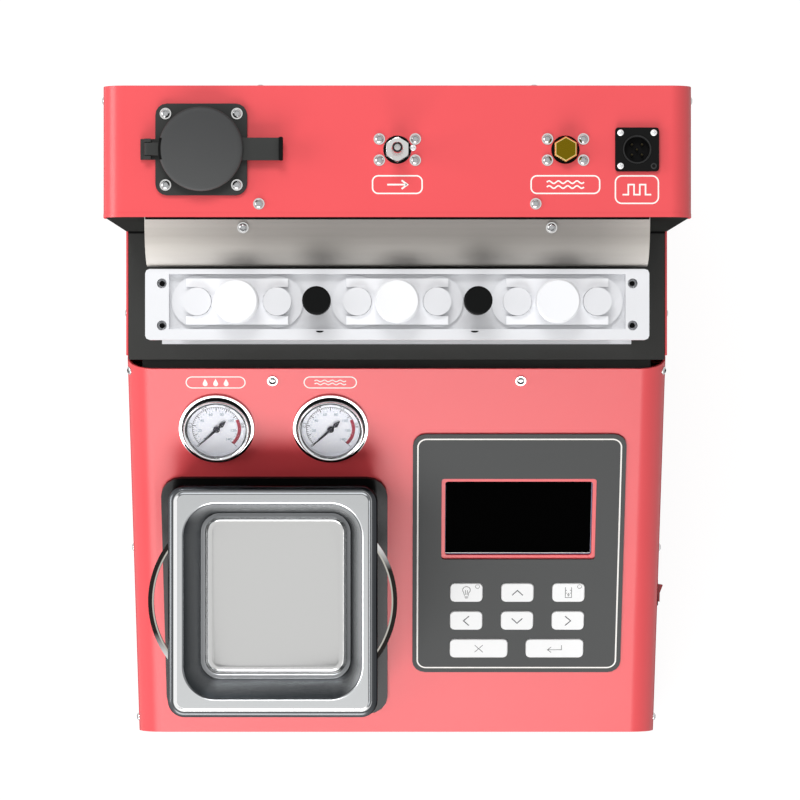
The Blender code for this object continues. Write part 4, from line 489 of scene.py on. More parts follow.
soft_lamp("front_softbox", (-0.45, -1.9, 1.5), (0, -0.05, 0.15), 2.0, 1.4, 42)
soft_lamp("left_softbox", (-1.9, 0.2, 1.2), (0, 0, 0.2), 1.2, 1.0, 17)
soft_lamp("back_softbox", (-0.3, 1.5, 2.4), (0, 0, 0.2), 1.0, 0.8, 24)

camera_data = bpy.data.cameras.new("camera")
camera_data.lens = 184.5
camera_data.sensor_width = 36.0
camera = bpy.data.objects.new("camera", camera_data)
bpy.context.scene.collection.objects.link(camera)
camera.location = (-0.0058, 0.0225, 3.342)
camera_data.shift_x = 0.01375
bpy.context.scene.camera = camera
bpy.context.scene.view_settings.view_transform = "Standard"
print("camera %.2f m above the floor" % camera.location.z)

# %% [markdown]
# ## Outlines and solids
# Small parts start as flat outlines: a circle, a rounded rectangle, or points spread along
# the sides of a polygon. A loft joins outlines at different heights, a turned solid spins a
# profile round its axis, and a sheet gives an outline a thickness and lets holes through.

# %% Outlines
def ring(radius, steps=48, centre=(0.0, 0.0)):
    """The points of a circle."""
    angles = [math.tau * step / steps for step in range(steps)]
    return [(centre[0] + radius * math.cos(a), centre[1] + radius * math.sin(a)) for a in angles]


def rounded(width, length, radius, steps=8, centre=(0.0, 0.0)):
    """The points of a rectangle with round corners."""
    points = []
    for quarter, (side, end) in enumerate(((1, 1), (-1, 1), (-1, -1), (1, -1))):
        x = centre[0] + side * (width / 2 - radius)
        y = centre[1] + end * (length / 2 - radius)
        for step in range(steps + 1):
            angle = math.radians(90) * (quarter + step / steps)
            points.append((x + radius * math.cos(angle), y + radius * math.sin(angle)))
    return points


def spread(corners, per_side):
    """Points spread evenly along the sides of a polygon."""
    points = []
    for start, end in zip(corners, corners[1:] + corners[:1]):
        for step in range(per_side):
            share = step / per_side
            points.append((start[0] + (end[0] - start[0]) * share, start[1] + (end[1] - start[1]) * share))
    return points


def echo(outline, radius):
    """A circle with one point straight outward of each point of an outline."""
    angles = [math.atan2(y, x) for x, y in outline]
    return [(radius * math.cos(a), radius * math.sin(a)) for a in angles]


print("a 10 mm ring has", len(ring(5 * MM)), "points")

# %% Solids from outlines
def closed_mesh(name, cage):
    """Turn the faces of a bmesh outward and make it a mesh."""
    bmesh.ops.recalc_face_normals(cage, faces=cage.faces)
    mesh = bpy.data.meshes.new(name)
    cage.to_mesh(mesh)
    cage.free()
    return mesh


def loft(name, rings, endless=False):
    """A solid through (outline, height) rings. An endless loft joins its last ring to its first."""
    cage = bmesh.new()
    rows = [[cage.verts.new((x, y, height)) for x, y in outline] for outline, height in rings]
    pairs = list(zip(rows, rows[1:]))
    if endless:
        pairs.append((rows[-1], rows[0]))
    else:
        cage.faces.new(rows[0])
        cage.faces.new(rows[-1])
    for low, high in pairs:
        for here, ahead in zip(range(-1, len(low) - 1), range(len(low))):
            cage.faces.new((low[here], low[ahead], high[ahead], high[here]))
    return closed_mesh(name, cage)


def turned(name, profile, steps=64):
    """A solid or a ring turned round Z from (radius, height) points."""
    cage = bmesh.new()
    points = [cage.verts.new((radius, 0, height)) for radius, height in profile]
    links = list(zip(points, points[1:] + points[:1]))
    lines = [cage.edges.new(link) for link in links]
    bmesh.ops.spin(cage, geom=points + lines, axis=(0, 0, 1), cent=(0, 0, 0), steps=steps, angle=math.tau)
    bmesh.ops.remove_doubles(cage, verts=cage.verts, dist=0.001 * MM)
    return closed_mesh(name, cage)


def sheet(name, outlines, low, high):
    """A flat sheet between two heights: its edge first, then its holes."""
    curve = bpy.data.curves.new(name, "CURVE")
    curve.dimensions = "2D"
    curve.fill_mode = "BOTH"
    curve.extrude = (high - low) / 2
    for outline in outlines:
        spline = curve.splines.new("POLY")
        spline.points.add(len(outline) - 1)
        spline.use_cyclic_u = True
        for point, (x, y) in zip(spline.points, outline):
            point.co = (x, y, 0, 1)
    shape = bpy.data.objects.new(name, curve)
    mesh = bpy.data.meshes.new_from_object(shape)
    bpy.data.objects.remove(shape)
    mesh.transform(Matrix.Translation((0, 0, (low + high) / 2)))
    return mesh


def gather(name, parts):
    """One mesh made of (mesh, matrix) pairs."""
    cage = bmesh.new()
    for mesh, matrix in parts:
        copy = mesh.copy()
        copy.transform(matrix)
        cage.from_mesh(copy)
        bpy.data.meshes.remove(copy)
    mesh = bpy.data.meshes.new(name)
    cage.to_mesh(mesh)
    cage.free()
    return mesh


print("loft, turned, sheet and gather are ready")

# %% [markdown]
# ## Pieces
# Every new piece hangs on a body of the frame, so it moves with it. A piece can also stand
# for a solid that is right in size but coarse. Screws and studs are seated on the real
# surface: a ray finds where they touch the solid, and which way that surface faces.

# %% Putting pieces in place
def add_piece(name, mesh, look, at=None, body="housing", node=None, edge_mm=0.0):
    """Put a mesh in the scene as a piece of the machine that rides on a body."""
    piece = bpy.data.objects.new(name, mesh)
    bpy.context.scene.collection.objects.link(piece)
    piece.matrix_world = at or Matrix.Identity(4)
    if not mesh.materials:
        mesh.materials.append(look)
    soften(piece, edge_mm, from_frame=False)
    if node:
        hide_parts(node)
    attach(piece, body)
    return piece


def at_point(x, y, z=0.0, turn=0.0):
    """A matrix that moves to a point of a face, after a turn round the face's Z."""
    return Matrix.Translation((x, y, z)) @ Matrix.Rotation(turn, 4, "Z")


def seat(start, toward, nodes):
    """A matrix where a ray first meets one of the solids, with its Z out of that surface."""
    hits = []
    for node in nodes:
        hit, spot, normal, face = solids[node].ray_cast(Vector(start), Vector(toward))
        if hit:
            hits.append(((spot - Vector(start)).length, spot, normal))
    distance, spot, normal = min(hits, key=lambda found: found[0])
    return Matrix.Translation(spot) @ normal.to_track_quat("Z", "Y").to_matrix().to_4x4()


bpy.context.view_layer.update()
print("hood surface under its bolt:", seat((0.108, 0.1433, 1), (0, 0, -1), ["light_hood"]).translation)

# %% [markdown]
# ## Screws
# The housing screws are plated button heads with a hexagon socket, 7.8 mm across. The
# sockets and the rear plate have small pan heads with a cross recess. A loft climbs from
# the floor of the recess, over its edge and down the dome to the surface.

# %% Screw heads
HEXAGON = [(math.cos(math.radians(60 * side)), math.sin(math.radians(60 * side))) for side in range(6)]
CROSS_ARM_SHARE = 0.24


def hexagon_recess(across):
    """A hexagon of 24 points."""
    reach = across / math.sqrt(3)
    return spread([(reach * x, reach * y) for x, y in HEXAGON], 4)


def cross_recess(across):
    """A cross of 24 points."""
    far = across / 2
    near = across * CROSS_ARM_SHARE / 2
    corners = []
    for turn_x, turn_y in ((1, 0), (0, 1), (-1, 0), (0, -1)):
        for along, aside in ((far, -near), (far, near), (near, near)):
            corners.append((along * turn_x - aside * turn_y, along * turn_y + aside * turn_x))
    return spread(corners, 2)


def screw_head(name, across, rise, recess, looks, washer=0.0):
    """A domed head on an optional washer, with a recess for the driver painted dark as shade."""
    radius = across / 2
    dome = [(share, math.sqrt(1 - share * share)) for share in (0.62, 0.76, 0.88, 0.96, 1.0)]
    wall = 0.25 * rise
    rings = [(recess, 0.35 * rise), (recess, 0.97 * rise)]
    rings += [(echo(recess, radius * share), wall + (rise - wall) * height) for share, height in dome]
    if washer:
        rings += [(echo(recess, radius), 0.9 * MM), (echo(recess, washer / 2), 0.9 * MM)]
        rings += [(echo(recess, washer / 2), -0.2 * MM)]
    else:
        rings += [(echo(recess, radius), -0.2 * MM)]
    head = loft(name, rings)
    for look in looks:
        head.materials.append(look)
    for face in head.polygons:
        out = face.center.xy.length
        sunk = out < 0.62 * radius and abs(face.normal.z) < 0.5
        # The recess walls take the third finish, painted dark as shade in the recess.
        face.material_index = 2 if sunk else 0 if out > 0.9 * radius else 1
    return head


head_steel = new_finish("rolled_steel_screw_head", "#ADAEAF", 0.22, metallic=1.0)
grain(head_steel, 0.8, 0.004, gloss=(0.17, 0.28))
# Painted shade: this dark steel darkens the walls of screw recesses, and the top of the outlet nipple as a dark
# reflection.
steel_painted_dark = new_finish("dark_painted_steel", "#2A2A2B", 0.45, metallic=1.0)
grain(steel_painted_dark, 0.5, 0.004, gloss=(0.38, 0.52))
bright_zinc = new_finish("bright_zinc_plated_screw", "#F0F1F2", 0.35, metallic=0.7)
grain(bright_zinc, 0.8, 0.004, gloss=(0.30, 0.42))
plated = (nickel_plate, head_steel, steel_painted_dark)
BUTTON = screw_head("button_screw", 6.2 * MM, 2.4 * MM, hexagon_recess(3.5 * MM), plated, washer=8.0 * MM)
SIDE_BUTTON = screw_head("side_screw", 6.2 * MM, 1.7 * MM, hexagon_recess(2.9 * MM), plated)
PAN = screw_head("pan_screw", 4.6 * MM, 1.4 * MM, cross_recess(3.0 * MM), (bright_zinc, bright_zinc, steel_painted_dark))
print("screw heads:", len(BUTTON.vertices), len(PAN.vertices), "corners")

# %% Housing screws
FILLER_X = -136.7 * MM
AIR_X = 117.3 * MM
SOCKET_X = 167.2 * MM
DOWN = (0, 0, -1)
HOUSING = ["tower_cover", "console_cover", "rear_panel", "base_tray", "bay_liner", "light_hood", "filler_neck"]

top_places = [(side * 96.6 * MM, 159.4 * MM) for side in (-1, 1)]
top_places += [(side * 108 * MM, 143.3 * MM) for side in (-1, 1)]
for side in (-1, 1):
    for end in (-1, 1):
        top_places.append((side * 12.55 * MM, FITTING_Y + end * 7.4 * MM))
        top_places.append((AIR_X + side * 12.55 * MM, FITTING_Y + end * 7.4 * MM))
        top_places.append((FILLER_X + side * 24.9 * MM, FITTING_Y + end * 24.9 * MM))
for number, (x, y) in enumerate(top_places):
    spot = seat((x, y, 1), DOWN, HOUSING) @ Matrix.Rotation(0.4 * number, 4, "Z")
    add_piece("top_screw_%d" % (number + 1), BUTTON, nickel_plate, at=spot)

for number, side in enumerate((-1, 1)):
    spot = slope_face @ at_point(side * 94.7 * MM, -9.9 * MM, 0, 0.5 * side)
    add_piece("slope_screw_%d" % (number + 1), BUTTON, nickel_plate, at=spot)

SIDE_SCREWS = [(233, 455), (89, 205), (45, 205), (-93, 120), (-231, 58)]
for name, side in (("left", -1), ("right", 1)):
    for number, (y, z) in enumerate(SIDE_SCREWS):
        spot = seat((side, y * MM, z * MM), (-side, 0, 0), HOUSING)
        add_piece("%s_screw_%d" % (name, number + 1), SIDE_BUTTON, nickel_plate, at=spot)
for number, side in enumerate((-1, 1)):
    spot = seat((side * 96 * MM, 1, 465 * MM), (0, -1, 0), HOUSING)
    add_piece("back_screw_%d" % (number + 1), SIDE_BUTTON, nickel_plate, at=spot)
    spot = seat((side * 95 * MM, -1, 50 * MM), (0, 1, 0), HOUSING)
    add_piece("front_screw_%d" % (number + 1), SIDE_BUTTON, nickel_plate, at=spot)
print("screws on top:", len(top_places), "on each side:", len(SIDE_SCREWS))

# %% [markdown]
# ## Printed frames
# Each fitting and gauge has a thin white frame beside it, screen-printed on the paint. The
# ink stands up a few hundredths of a millimetre. The frames hold plain line symbols: an
# arrow out for the outlet, drops for fluid, waves for air, steps for the pulse.

# %% Ink and print
PRINT = 0.06 * MM
white_ink = new_finish("white_screen_ink", "#FBF7F2", 0.5, ior=1.5)
grain(white_ink, 0.3, 0.004, gloss=(0.44, 0.58))
black_ink = new_finish("black_screen_ink", "#20232A", 0.5, ior=1.5)
grain(black_ink, 0.3, 0.003, gloss=(0.44, 0.58))
grey_ink = new_finish("grey_screen_ink", "#565656", 0.5, ior=1.5)
grain(grey_ink, 0.3, 0.003, gloss=(0.44, 0.58))


def frame_line(width, length, radius, line):
    """A rounded frame of one line width."""
    inside = rounded(width - 2 * line, length - 2 * line, radius - line)
    return sheet("frame_line", [rounded(width, length, radius), inside], 0.01 * MM, PRINT)


def stroke(points, line, closed=False):
    """A printed line of one width through a list of points, mitred at its corners."""
    left, right = [], []
    count = len(points)
    for index, point in enumerate(points):
        before = points[index - 1] if index or closed else point
        after = points[(index + 1) % count] if index + 1 < count or closed else point
        ahead = Vector(after) - Vector(point)
        behind = Vector(point) - Vector(before)
        heading = (ahead.normalized() + behind.normalized()).normalized()
        square = max(0.5, heading.dot(ahead.normalized() if ahead.length else behind.normalized()))
        offset = Vector((-heading.y, heading.x)) * (line / 2 / square)
        left.append(tuple(Vector(point) + offset))
        right.append(tuple(Vector(point) - offset))
    outlines = [left, right] if closed else [left + right[::-1]]
    return sheet("stroke", outlines, 0.01 * MM, PRINT)


def wave(width, height, turns, steps=40):
    """Points of a level wave."""
    spots = [step / steps for step in range(steps + 1)]
    return [((s - 0.5) * width, height / 2 * math.sin(math.tau * turns * s)) for s in spots]


def drop(height, steps=24):
    """Points of a drop with its tip up."""
    points = []
    for step in range(steps):
        angle = math.tau * step / steps
        pinch = math.sin(angle / 2) ** 1.6
        points.append((0.42 * height * math.sin(angle) * pinch, 0.5 * height * math.cos(angle)))
    return points


ARROW = [stroke([(-7 * MM, 0), (6.5 * MM, 0)], 1.2 * MM), stroke([(3 * MM, 3 * MM), (7 * MM, 0), (3 * MM, -3 * MM)], 1.2 * MM)]
print("symbols are drawn as printed lines")

# %% Frames with their symbols
def print_frame(name, frame_mesh, symbols, at):
    """A frame and the symbols inside it, as one print on a face."""
    parts = [(frame_mesh, Matrix.Identity(4))]
    parts += [(symbol, at_point(x, y)) for symbol, x, y in symbols]
    return add_piece(name, gather(name, parts), white_ink, at=at)


level = [(symbol, 0, 0) for symbol in ARROW]
print_frame("outlet_print", frame_line(35.6 * MM, 13.3 * MM, 4.5 * MM, 1.0 * MM), level, tower_top @ at_point(0, 172.8 * MM))
breeze = stroke(wave(26 * MM, 1.8 * MM, 4), 1.0 * MM)
level = [(breeze, 0, 1.7 * MM), (breeze, 0, -1.7 * MM)]
print_frame("air_print", frame_line(48.8 * MM, 13.3 * MM, 4.5 * MM, 1.0 * MM), level, tower_top @ at_point(AIR_X, 172.8 * MM))
steps = [(-10, -3.5), (-6, -3.5), (-6, 3.5), (-2, 3.5), (-2, -3.5), (2, -3.5), (2, 3.5), (6, 3.5), (6, -3.5), (10, -3.5)]
pulse = stroke([(x * MM, y * MM) for x, y in steps], 1.1 * MM)
print_frame("pulse_print", frame_line(31 * MM, 20.2 * MM, 5 * MM, 1.0 * MM), [(pulse, 0, 0)], tower_top @ at_point(SOCKET_X, 169.3 * MM))

GAUGE_X = {"fuel": -138.1 * MM, "air": -50.6 * MM}
GAUGE_DROP = 50.6 * MM
bead = sheet("drop", [drop(6.4 * MM)], 0.01 * MM, PRINT)
level = [(bead, shift * 8 * MM, 0) for shift in (-1, 0, 1)]
print_frame("fuel_gauge_print", frame_line(45.8 * MM, 10.3 * MM, 5.1 * MM, 0.9 * MM), level, slope_face @ at_point(GAUGE_X["fuel"], -11.4 * MM))
breeze = stroke(wave(24 * MM, 1.4 * MM, 4), 0.8 * MM)
level = [(breeze, 0, 1.3 * MM), (breeze, 0, -1.3 * MM)]
print_frame("air_gauge_print", frame_line(40.8 * MM, 10.3 * MM, 5.1 * MM, 0.9 * MM), level, slope_face @ at_point(GAUGE_X["air"], -11.4 * MM))
print("five printed frames")

# %% [markdown]
# ## Gauges
# A pressure gauge is a black enamelled steel case. A polished flange holds it on the slope
# and a polished bezel holds its lens. Below the lens a white enamelled dial carries
# a scale of 270 degrees: black tenths outside, slate blue numbers inside, and a red band
# where the pressure is too high. The pointer is cut from thin sheet and painted black.

# %% Gauge finishes
gauge_black = new_finish("black_enamelled_steel", "#121315", 0.30, Specular_IOR_Level=0.3)
grain(gauge_black, 1.0, 0.004, gloss=(0.24, 0.36))
dial_enamel = new_finish("white_dial_enamel", "#F5F6FC", 0.35)
grain(dial_enamel, 2.0, 0.002, gloss=(0.30, 0.40), tint=("#F8F8FD", "#EFF1FA", 12))
slate_ink = new_finish("slate_blue_dial_ink", "#6C8494", 0.5)
grain(slate_ink, 0.3, 0.002, gloss=(0.44, 0.56))
red_ink = new_finish("red_dial_ink", "#B23A4C", 0.5)
grain(red_ink, 0.3, 0.002, gloss=(0.44, 0.56))
pointer_black = new_finish("black_painted_pointer", "#1E1A28", 0.45, Specular_IOR_Level=0.3)
grain(pointer_black, 0.5, 0.002, gloss=(0.38, 0.52))
print("gauge finishes are ready")

# %% Gauge solids
def millimetres(points):
    """A profile given in millimetres, as metres."""
    return [(first * MM, second * MM) for first, second in points]


FLANGE = millimetres([
    (29.1, 0.3), (29.1, 1.2), (28.9, 1.7), (28.4, 1.95), (27.0, 1.95), (26.6, 1.8), (26.4, 1.4), (26.4, 0.3),
])
CASE = millimetres([
    (0, 0.5), (22.5, 0.5), (22.5, 3.6), (23.0, 3.6), (23.0, 4.7), (25.1, 4.7), (25.2, 4.4), (25.2, 1.1),
    (26.3, 1.1), (26.3, 0.3), (24.0, 0.3), (24.0, -23.0), (23.0, -24.0), (6.0, -24.0), (6.0, -34.0), (0, -34.0),
])
BEZEL = millimetres([
    (23.0, 4.7), (23.0, 5.5), (23.3, 6.0), (24.0, 6.5), (24.4, 6.6), (24.8, 6.45), (25.1, 6.1), (25.2, 5.6),
    (25.2, 4.7),
])
PAN_EDGE = millimetres([(0, 0.52), (22.4, 0.52), (22.4, 3.4), (22.1, 3.4), (21.6, 0.85), (21.3, 0.65), (0, 0.65)])
HUB = millimetres([(0, 1.7), (2.5, 1.7), (2.6, 1.9), (2.6, 2.5), (2.2, 2.9), (1.2, 3.0), (0, 3.0)])
POINTER = [(19.6, -0.2), (19.6, 0.2), (3, 0.95), (-3.5, 0.8), (-5.2, 2.0), (-10.4, 0), (-5.2, -2.0), (-3.5, -0.8), (3, -0.95)]
DIAL_START = math.radians(225)
DIAL_SWEEP = math.radians(270)
DIAL_FACE = 0.65 * MM


def polar(radius_mm, angle):
    """A point of the dial at a radius and an angle."""
    return (radius_mm * MM * math.cos(angle), radius_mm * MM * math.sin(angle))


def arc_band(inner_mm, outer_mm, start, end, steps=24, rise_mm=PRINT / MM):
    """A band between two radii and two angles, as thin as print unless it is given a rise."""
    angles = [start + (end - start) * step / steps for step in range(steps + 1)]
    outline = [polar(outer_mm, a) for a in angles] + [polar(inner_mm, a) for a in reversed(angles)]
    return sheet("arc_band", [outline], 0.01 * MM, rise_mm * MM)


def number_mesh(text, height_mm):
    """A plain printed number, centred on the origin."""
    curve = bpy.data.curves.new("number", "FONT")
    curve.body = text
    curve.size = height_mm * MM * 1.4
    curve.align_x = "CENTER"
    curve.align_y = "CENTER"
    curve.extrude = PRINT / 2
    shape = bpy.data.objects.new("number", curve)
    mesh = bpy.data.meshes.new_from_object(shape)
    bpy.data.objects.remove(shape)
    mesh.transform(Matrix.Translation((0, 0, PRINT / 2)))
    return mesh


def tick(inner_mm, outer_mm, width_mm):
    """A printed tick along X."""
    corners = [(inner_mm, -width_mm / 2), (outer_mm, -width_mm / 2), (outer_mm, width_mm / 2), (inner_mm, width_mm / 2)]
    return sheet("tick", [millimetres(corners)], 0.01 * MM, PRINT)


print("profile points of the case:", len(CASE))

# %% Dial prints
def dial_prints():
    """The three prints of a dial as (name, mesh, ink)."""
    black, blue = [], []
    short, long = tick(17.1, 18.6, 0.34), tick(15.9, 18.6, 0.62)
    for step in range(51):
        angle = DIAL_START - DIAL_SWEEP * step / 50
        black.append((short if step % 5 else long, Matrix.Rotation(angle, 4, "Z")))
    black.append((arc_band(18.4, 18.75, DIAL_START, DIAL_START - DIAL_SWEEP, 64), Matrix.Identity(4)))
    for step in range(6):
        angle = DIAL_START - DIAL_SWEEP * step / 5
        text = "%g" % (step / 5)
        black.append((number_mesh(text, 2.5), at_point(*polar(20.2, angle), 0, angle - math.radians(90))))
    for step in range(29):
        angle = DIAL_START - DIAL_SWEEP * step / 28
        blue.append((tick(14.9, 15.8, 0.3), Matrix.Rotation(angle, 4, "Z")))
    for step in range(8):
        angle = DIAL_START - DIAL_SWEEP * step / 7
        blue.append((number_mesh(str(20 * step), 2.2), at_point(*polar(12.9, angle))))
    band = arc_band(16.3, 18.9, math.radians(26), math.radians(-45))
    return [
        ("scale", gather("dial_scale", black), black_ink),
        ("inner_scale", gather("dial_inner_scale", blue), slate_ink),
        ("red_band", band, red_ink),
    ]


PRINTS = dial_prints()
for name, x in GAUGE_X.items():
    base = slope_face @ at_point(x, -GAUGE_DROP)
    add_piece("gauge_flange_" + name, turned("flange", FLANGE, 96), chrome_plate, at=base)
    case = turned("case", CASE, 96)
    add_piece("gauge_body_" + name, case, gauge_black, at=base, node="gauge_case_" + name)
    add_piece("gauge_bezel_" + name, turned("bezel", BEZEL, 96), chrome_plate, at=base)
    add_piece("gauge_dial_" + name, turned("dial", PAN_EDGE, 96), dial_enamel, at=base)
    face = base @ Matrix.Translation((0, 0, DIAL_FACE))
    for print_name, mesh, ink in PRINTS:
        add_piece("gauge_%s_%s" % (print_name, name), mesh, ink, at=face)
    pointing = base @ Matrix.Rotation(DIAL_START, 4, "Z")
    blade = sheet("pointer", [millimetres(POINTER)], 2.1 * MM, 2.55 * MM)
    pointer = gather("pointer", [(blade, Matrix.Identity(4)), (turned("hub", HUB, 32), Matrix.Identity(4))])
    add_piece(
        "gauge_pointer_" + name, pointer, pointer_black, at=pointing,
        body="needle_" + name, node="gauge_needle_" + name,
    )
print("gauges dressed:", list(GAUGE_X))

# %% [markdown]
# ## The ultrasonic tank
# The pan is deep drawn from one stainless sheet. Its rim is rolled over, which leaves
# a raised bead round a flat border. The walls lean in, and meet the floor over a step and
# a wide fillet. The walls are painted darker than the polished floor, and the walls, the bead,
# the border and the rolled edge carry painted light and shade by the way they face.

# %% Tank finishes
def paint_light_by_side(look, tilt, heights, lit, shaded):
    """Paint light and shade on a pan surface by the way it faces, and between two heights.

    Faces turned left or to the front take the lit pair of colours, the others the shaded
    pair. Each pair runs from the first height to the second."""
    tree = look.node_tree
    place = add_node(tree, "ShaderNodeTexCoord")
    normal = add_node(tree, "ShaderNodeSeparateXYZ", {"Vector": place.outputs["Normal"]})
    spot = add_node(tree, "ShaderNodeSeparateXYZ", {"Vector": place.outputs["Object"]})
    turned = add_node(tree, "ShaderNodeMath", {0: normal.outputs["X"], 1: normal.outputs["Y"]}, operation="ADD")
    side = add_node(
        tree, "ShaderNodeMapRange", {"Value": turned.outputs[0], "From Min": -tilt, "From Max": tilt},
    )
    level = add_node(
        tree, "ShaderNodeMapRange",
        {"Value": spot.outputs["Z"], "From Min": heights[0] * MM, "From Max": heights[1] * MM},
    )
    pair = [
        add_node(
            tree, "ShaderNodeMix", {"Factor": level.outputs["Result"], "A": linear(first), "B": linear(last)},
            data_type="RGBA",
        ).outputs[2]
        for first, last in (lit, shaded)
    ]
    mix = add_node(
        tree, "ShaderNodeMix", {"Factor": side.outputs["Result"], "A": pair[0], "B": pair[1]}, data_type="RGBA",
    )
    for socket in ("Base Color", "Specular Tint"):
        tree.links.new(mix.outputs[2], tree.nodes["Principled BSDF"].inputs[socket])


tank_wall_painted_light = new_finish("stainless_wall_painted_light", "#4A4C4F", 0.22, metallic=1.0)
grain(tank_wall_painted_light, 0.6, 0.002, stretch=(1, 1, 0.05), gloss=(0.17, 0.28))
# Painted light and shade on the walls: the right and back walls run from dark at the floor to light at the rim, and the
# left and front walls are a mid grey.
paint_light_by_side(tank_wall_painted_light, 0.5, (-92, -8), ("#3C3E40", "#DCDEE0"), ("#A2A4A6", "#7C7E80"))
bead_steel = new_finish("beaded_stainless_rim", "#C8CACC", 0.22, metallic=1.0)
grain(bead_steel, 0.5, 0.001, stretch=(1, 0.06, 1), gloss=(0.18, 0.28))
# Painted reflection on the bead: dark on the right and back of the pan, bright on the left and front.
paint_light_by_side(bead_steel, 0.08, (-1, 0), ("#66686A", "#66686A"), ("#F2F2F2", "#F2F2F2"))
rim_steel = new_finish("rolled_stainless_rim", "#AEB0B1", 0.22, metallic=1.0)
grain(rim_steel, 0.5, 0.001, stretch=(1, 0.06, 1), gloss=(0.18, 0.28))
# Painted light: the flat border is painted a little lighter at the front than at the back.
paint_light_across(rim_steel, "Y", [(-88, "#CDCFD0"), (88, "#BEC0C1")])
rim_shadow = new_finish("rolled_stainless_edge", "#55575A", 0.22, metallic=1.0)
grain(rim_shadow, 0.5, 0.001, stretch=(1, 0.06, 1), gloss=(0.18, 0.28))
# Painted shade and light on the rolled edge: dark on the right and back of the pan, lighter on the left and front.
paint_light_by_side(rim_shadow, 0.4, (-4, 0), ("#8A8C8E", "#5C5E60"), ("#2C2D30", "#3C3E41"))
chrome_strap_painted_light = new_finish("chrome_strap_with_painted_light", "#2A2725", 0.22, metallic=1.0)
grain(chrome_strap_painted_light, 1.0, 0.002, gloss=(0.18, 0.27))
# Painted light and shade on the strap: dark as the shade it mirrors, and painted light towards one end.
paint_light_across(chrome_strap_painted_light, "Y", [(24, "#2A2725"), (42, "#D9D9D8")])
print(tank_wall_painted_light.name, rim_steel.name, chrome_strap_painted_light.name)

# %% Tank pan
TANK_LOW, TANK_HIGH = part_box("tank_pan")
TANK_X = (TANK_LOW.x + TANK_HIGH.x) / 2
TANK_Y = (TANK_LOW.y + TANK_HIGH.y) / 2
tank_top = Matrix.Translation((TANK_X, TANK_Y, TANK_HIGH.z))
RIM = (157.5, 174.5, 11.5)
BASIN = (137.3, 149.5, 25.0)
PAN_DEPTH = 100.0
PAN_SHEET = 1.2
CORNER_STEPS = 16


def quarter(centre, radius, start, end, steps=6):
    """Points of an arc in a profile of (inward, height), in millimetres."""
    angles = [math.radians(start + (end - start) * step / steps) for step in range(steps + 1)]
    return [(centre[0] + radius * math.cos(a), centre[1] + radius * math.sin(a)) for a in angles]


def pan_ring(size, inward, height):
    """A rounded rectangle of the pan, drawn in by a distance, at a height."""
    width, length, corner = size
    outline = rounded(
        (width - 2 * inward) * MM, (length - 2 * inward) * MM, (corner - min(inward, corner - 0.5)) * MM, CORNER_STEPS
    )
    return outline, height * MM


roll_profile = [(0, -10.0), (0, -3.2)] + quarter((3.2, -3.2), 3.2, 180, 90)[1:]
rim_profile = roll_profile + [(3.8, -0.05), (4.3, -0.25), (4.7, -0.6), (5.2, -0.8), (6.0, -0.85)]
basin_profile = [(-4.0, -0.85)] + quarter((-1.3, -2.15), 1.3, 90, 0, 5)
basin_profile += [(3.0, -30.0), (6.0, -60.0), (8.6, -88.0)] + quarter((10.4, -88.2), 1.8, 190, 265, 4)
basin_profile += quarter((10.8, -97.3), 7.4, 84, 78, 1) + quarter((17.6, -94.3), 5.6, 190, 270, 9)
basin_profile += [(18.4, -99.9), (19.4, -99.8)]
pan_rings = [pan_ring(RIM, *point) for point in rim_profile]
pan_rings += [pan_ring(BASIN, *point) for point in basin_profile]
print("rings of the pan:", len(pan_rings))

# %% Pan mesh
def build_pan():
    """The visible skin of the pan, thickened to the sheet it is drawn from."""
    cage = bmesh.new()
    rows = [[cage.verts.new((x, y, height)) for x, y in outline] for outline, height in pan_rings]
    for low, high in zip(rows, rows[1:]):
        for here in range(len(low)):
            cage.faces.new((low[here - 1], low[here], high[here], high[here - 1]))
    cage.faces.new(rows[-1])
    bmesh.ops.recalc_face_normals(cage, faces=cage.faces)
    mesh = bpy.data.meshes.new("tank_skin")
    cage.to_mesh(mesh)
    cage.free()
    return mesh


skin = build_pan()
skin.materials.append(satin_steel)
skin.materials.append(tank_wall_painted_light)
skin.materials.append(rim_steel)
skin.materials.append(rim_shadow)
skin.materials.append(bead_steel)
around_ring = len(pan_rings[0][0])
# The rolled edge, the bead, the border and the walls take finishes with painted light and shade; the floor keeps the
# plain satin steel.
for face in skin.polygons:
    band = face.index // around_ring + 1
    if band < len(roll_profile):
        face.material_index = 3
    elif band < len(rim_profile):
        face.material_index = 4
    elif face.center.z > -0.9 * MM:
        face.material_index = 2
    else:
        face.material_index = 1 if face.center.z > -96.5 * MM else 0
pan = add_piece("tank_skin", skin, satin_steel, at=tank_top, body="tank", node="tank_pan")
thick = pan.modifiers.new("sheet_thickness", "SOLIDIFY")
thick.thickness = PAN_SHEET * MM
thick.offset = -1.0
print("pan faces:", len(skin.polygons))

# %% Strap handles
HANDLE_BULGE = 16.25
HANDLE_HALF = 46.5
STRAP = 4.3
STRAP_TALL = 6.5


def strap_mesh(name, inner_mm, outer_mm, low_mm, high_mm):
    """A bent strap between two distances from its inner face, ends in the rim's side."""
    root = RIM[0] / 2 - 0.6
    bulge = HANDLE_BULGE + 0.6
    radius = (HANDLE_HALF ** 2 + bulge ** 2) / (2 * bulge)
    middle = root + bulge - radius
    outline = []
    for reach, way in ((radius - STRAP + outer_mm, 1), (radius - STRAP + inner_mm, -1)):
        sweep = math.acos((root - middle) / reach)
        for step in range(49):
            angle = way * sweep * (step / 24 - 1)
            outline.append(((middle + reach * math.cos(angle)) * MM, reach * math.sin(angle) * MM))
    return sheet(name, [outline], low_mm * MM, high_mm * MM)


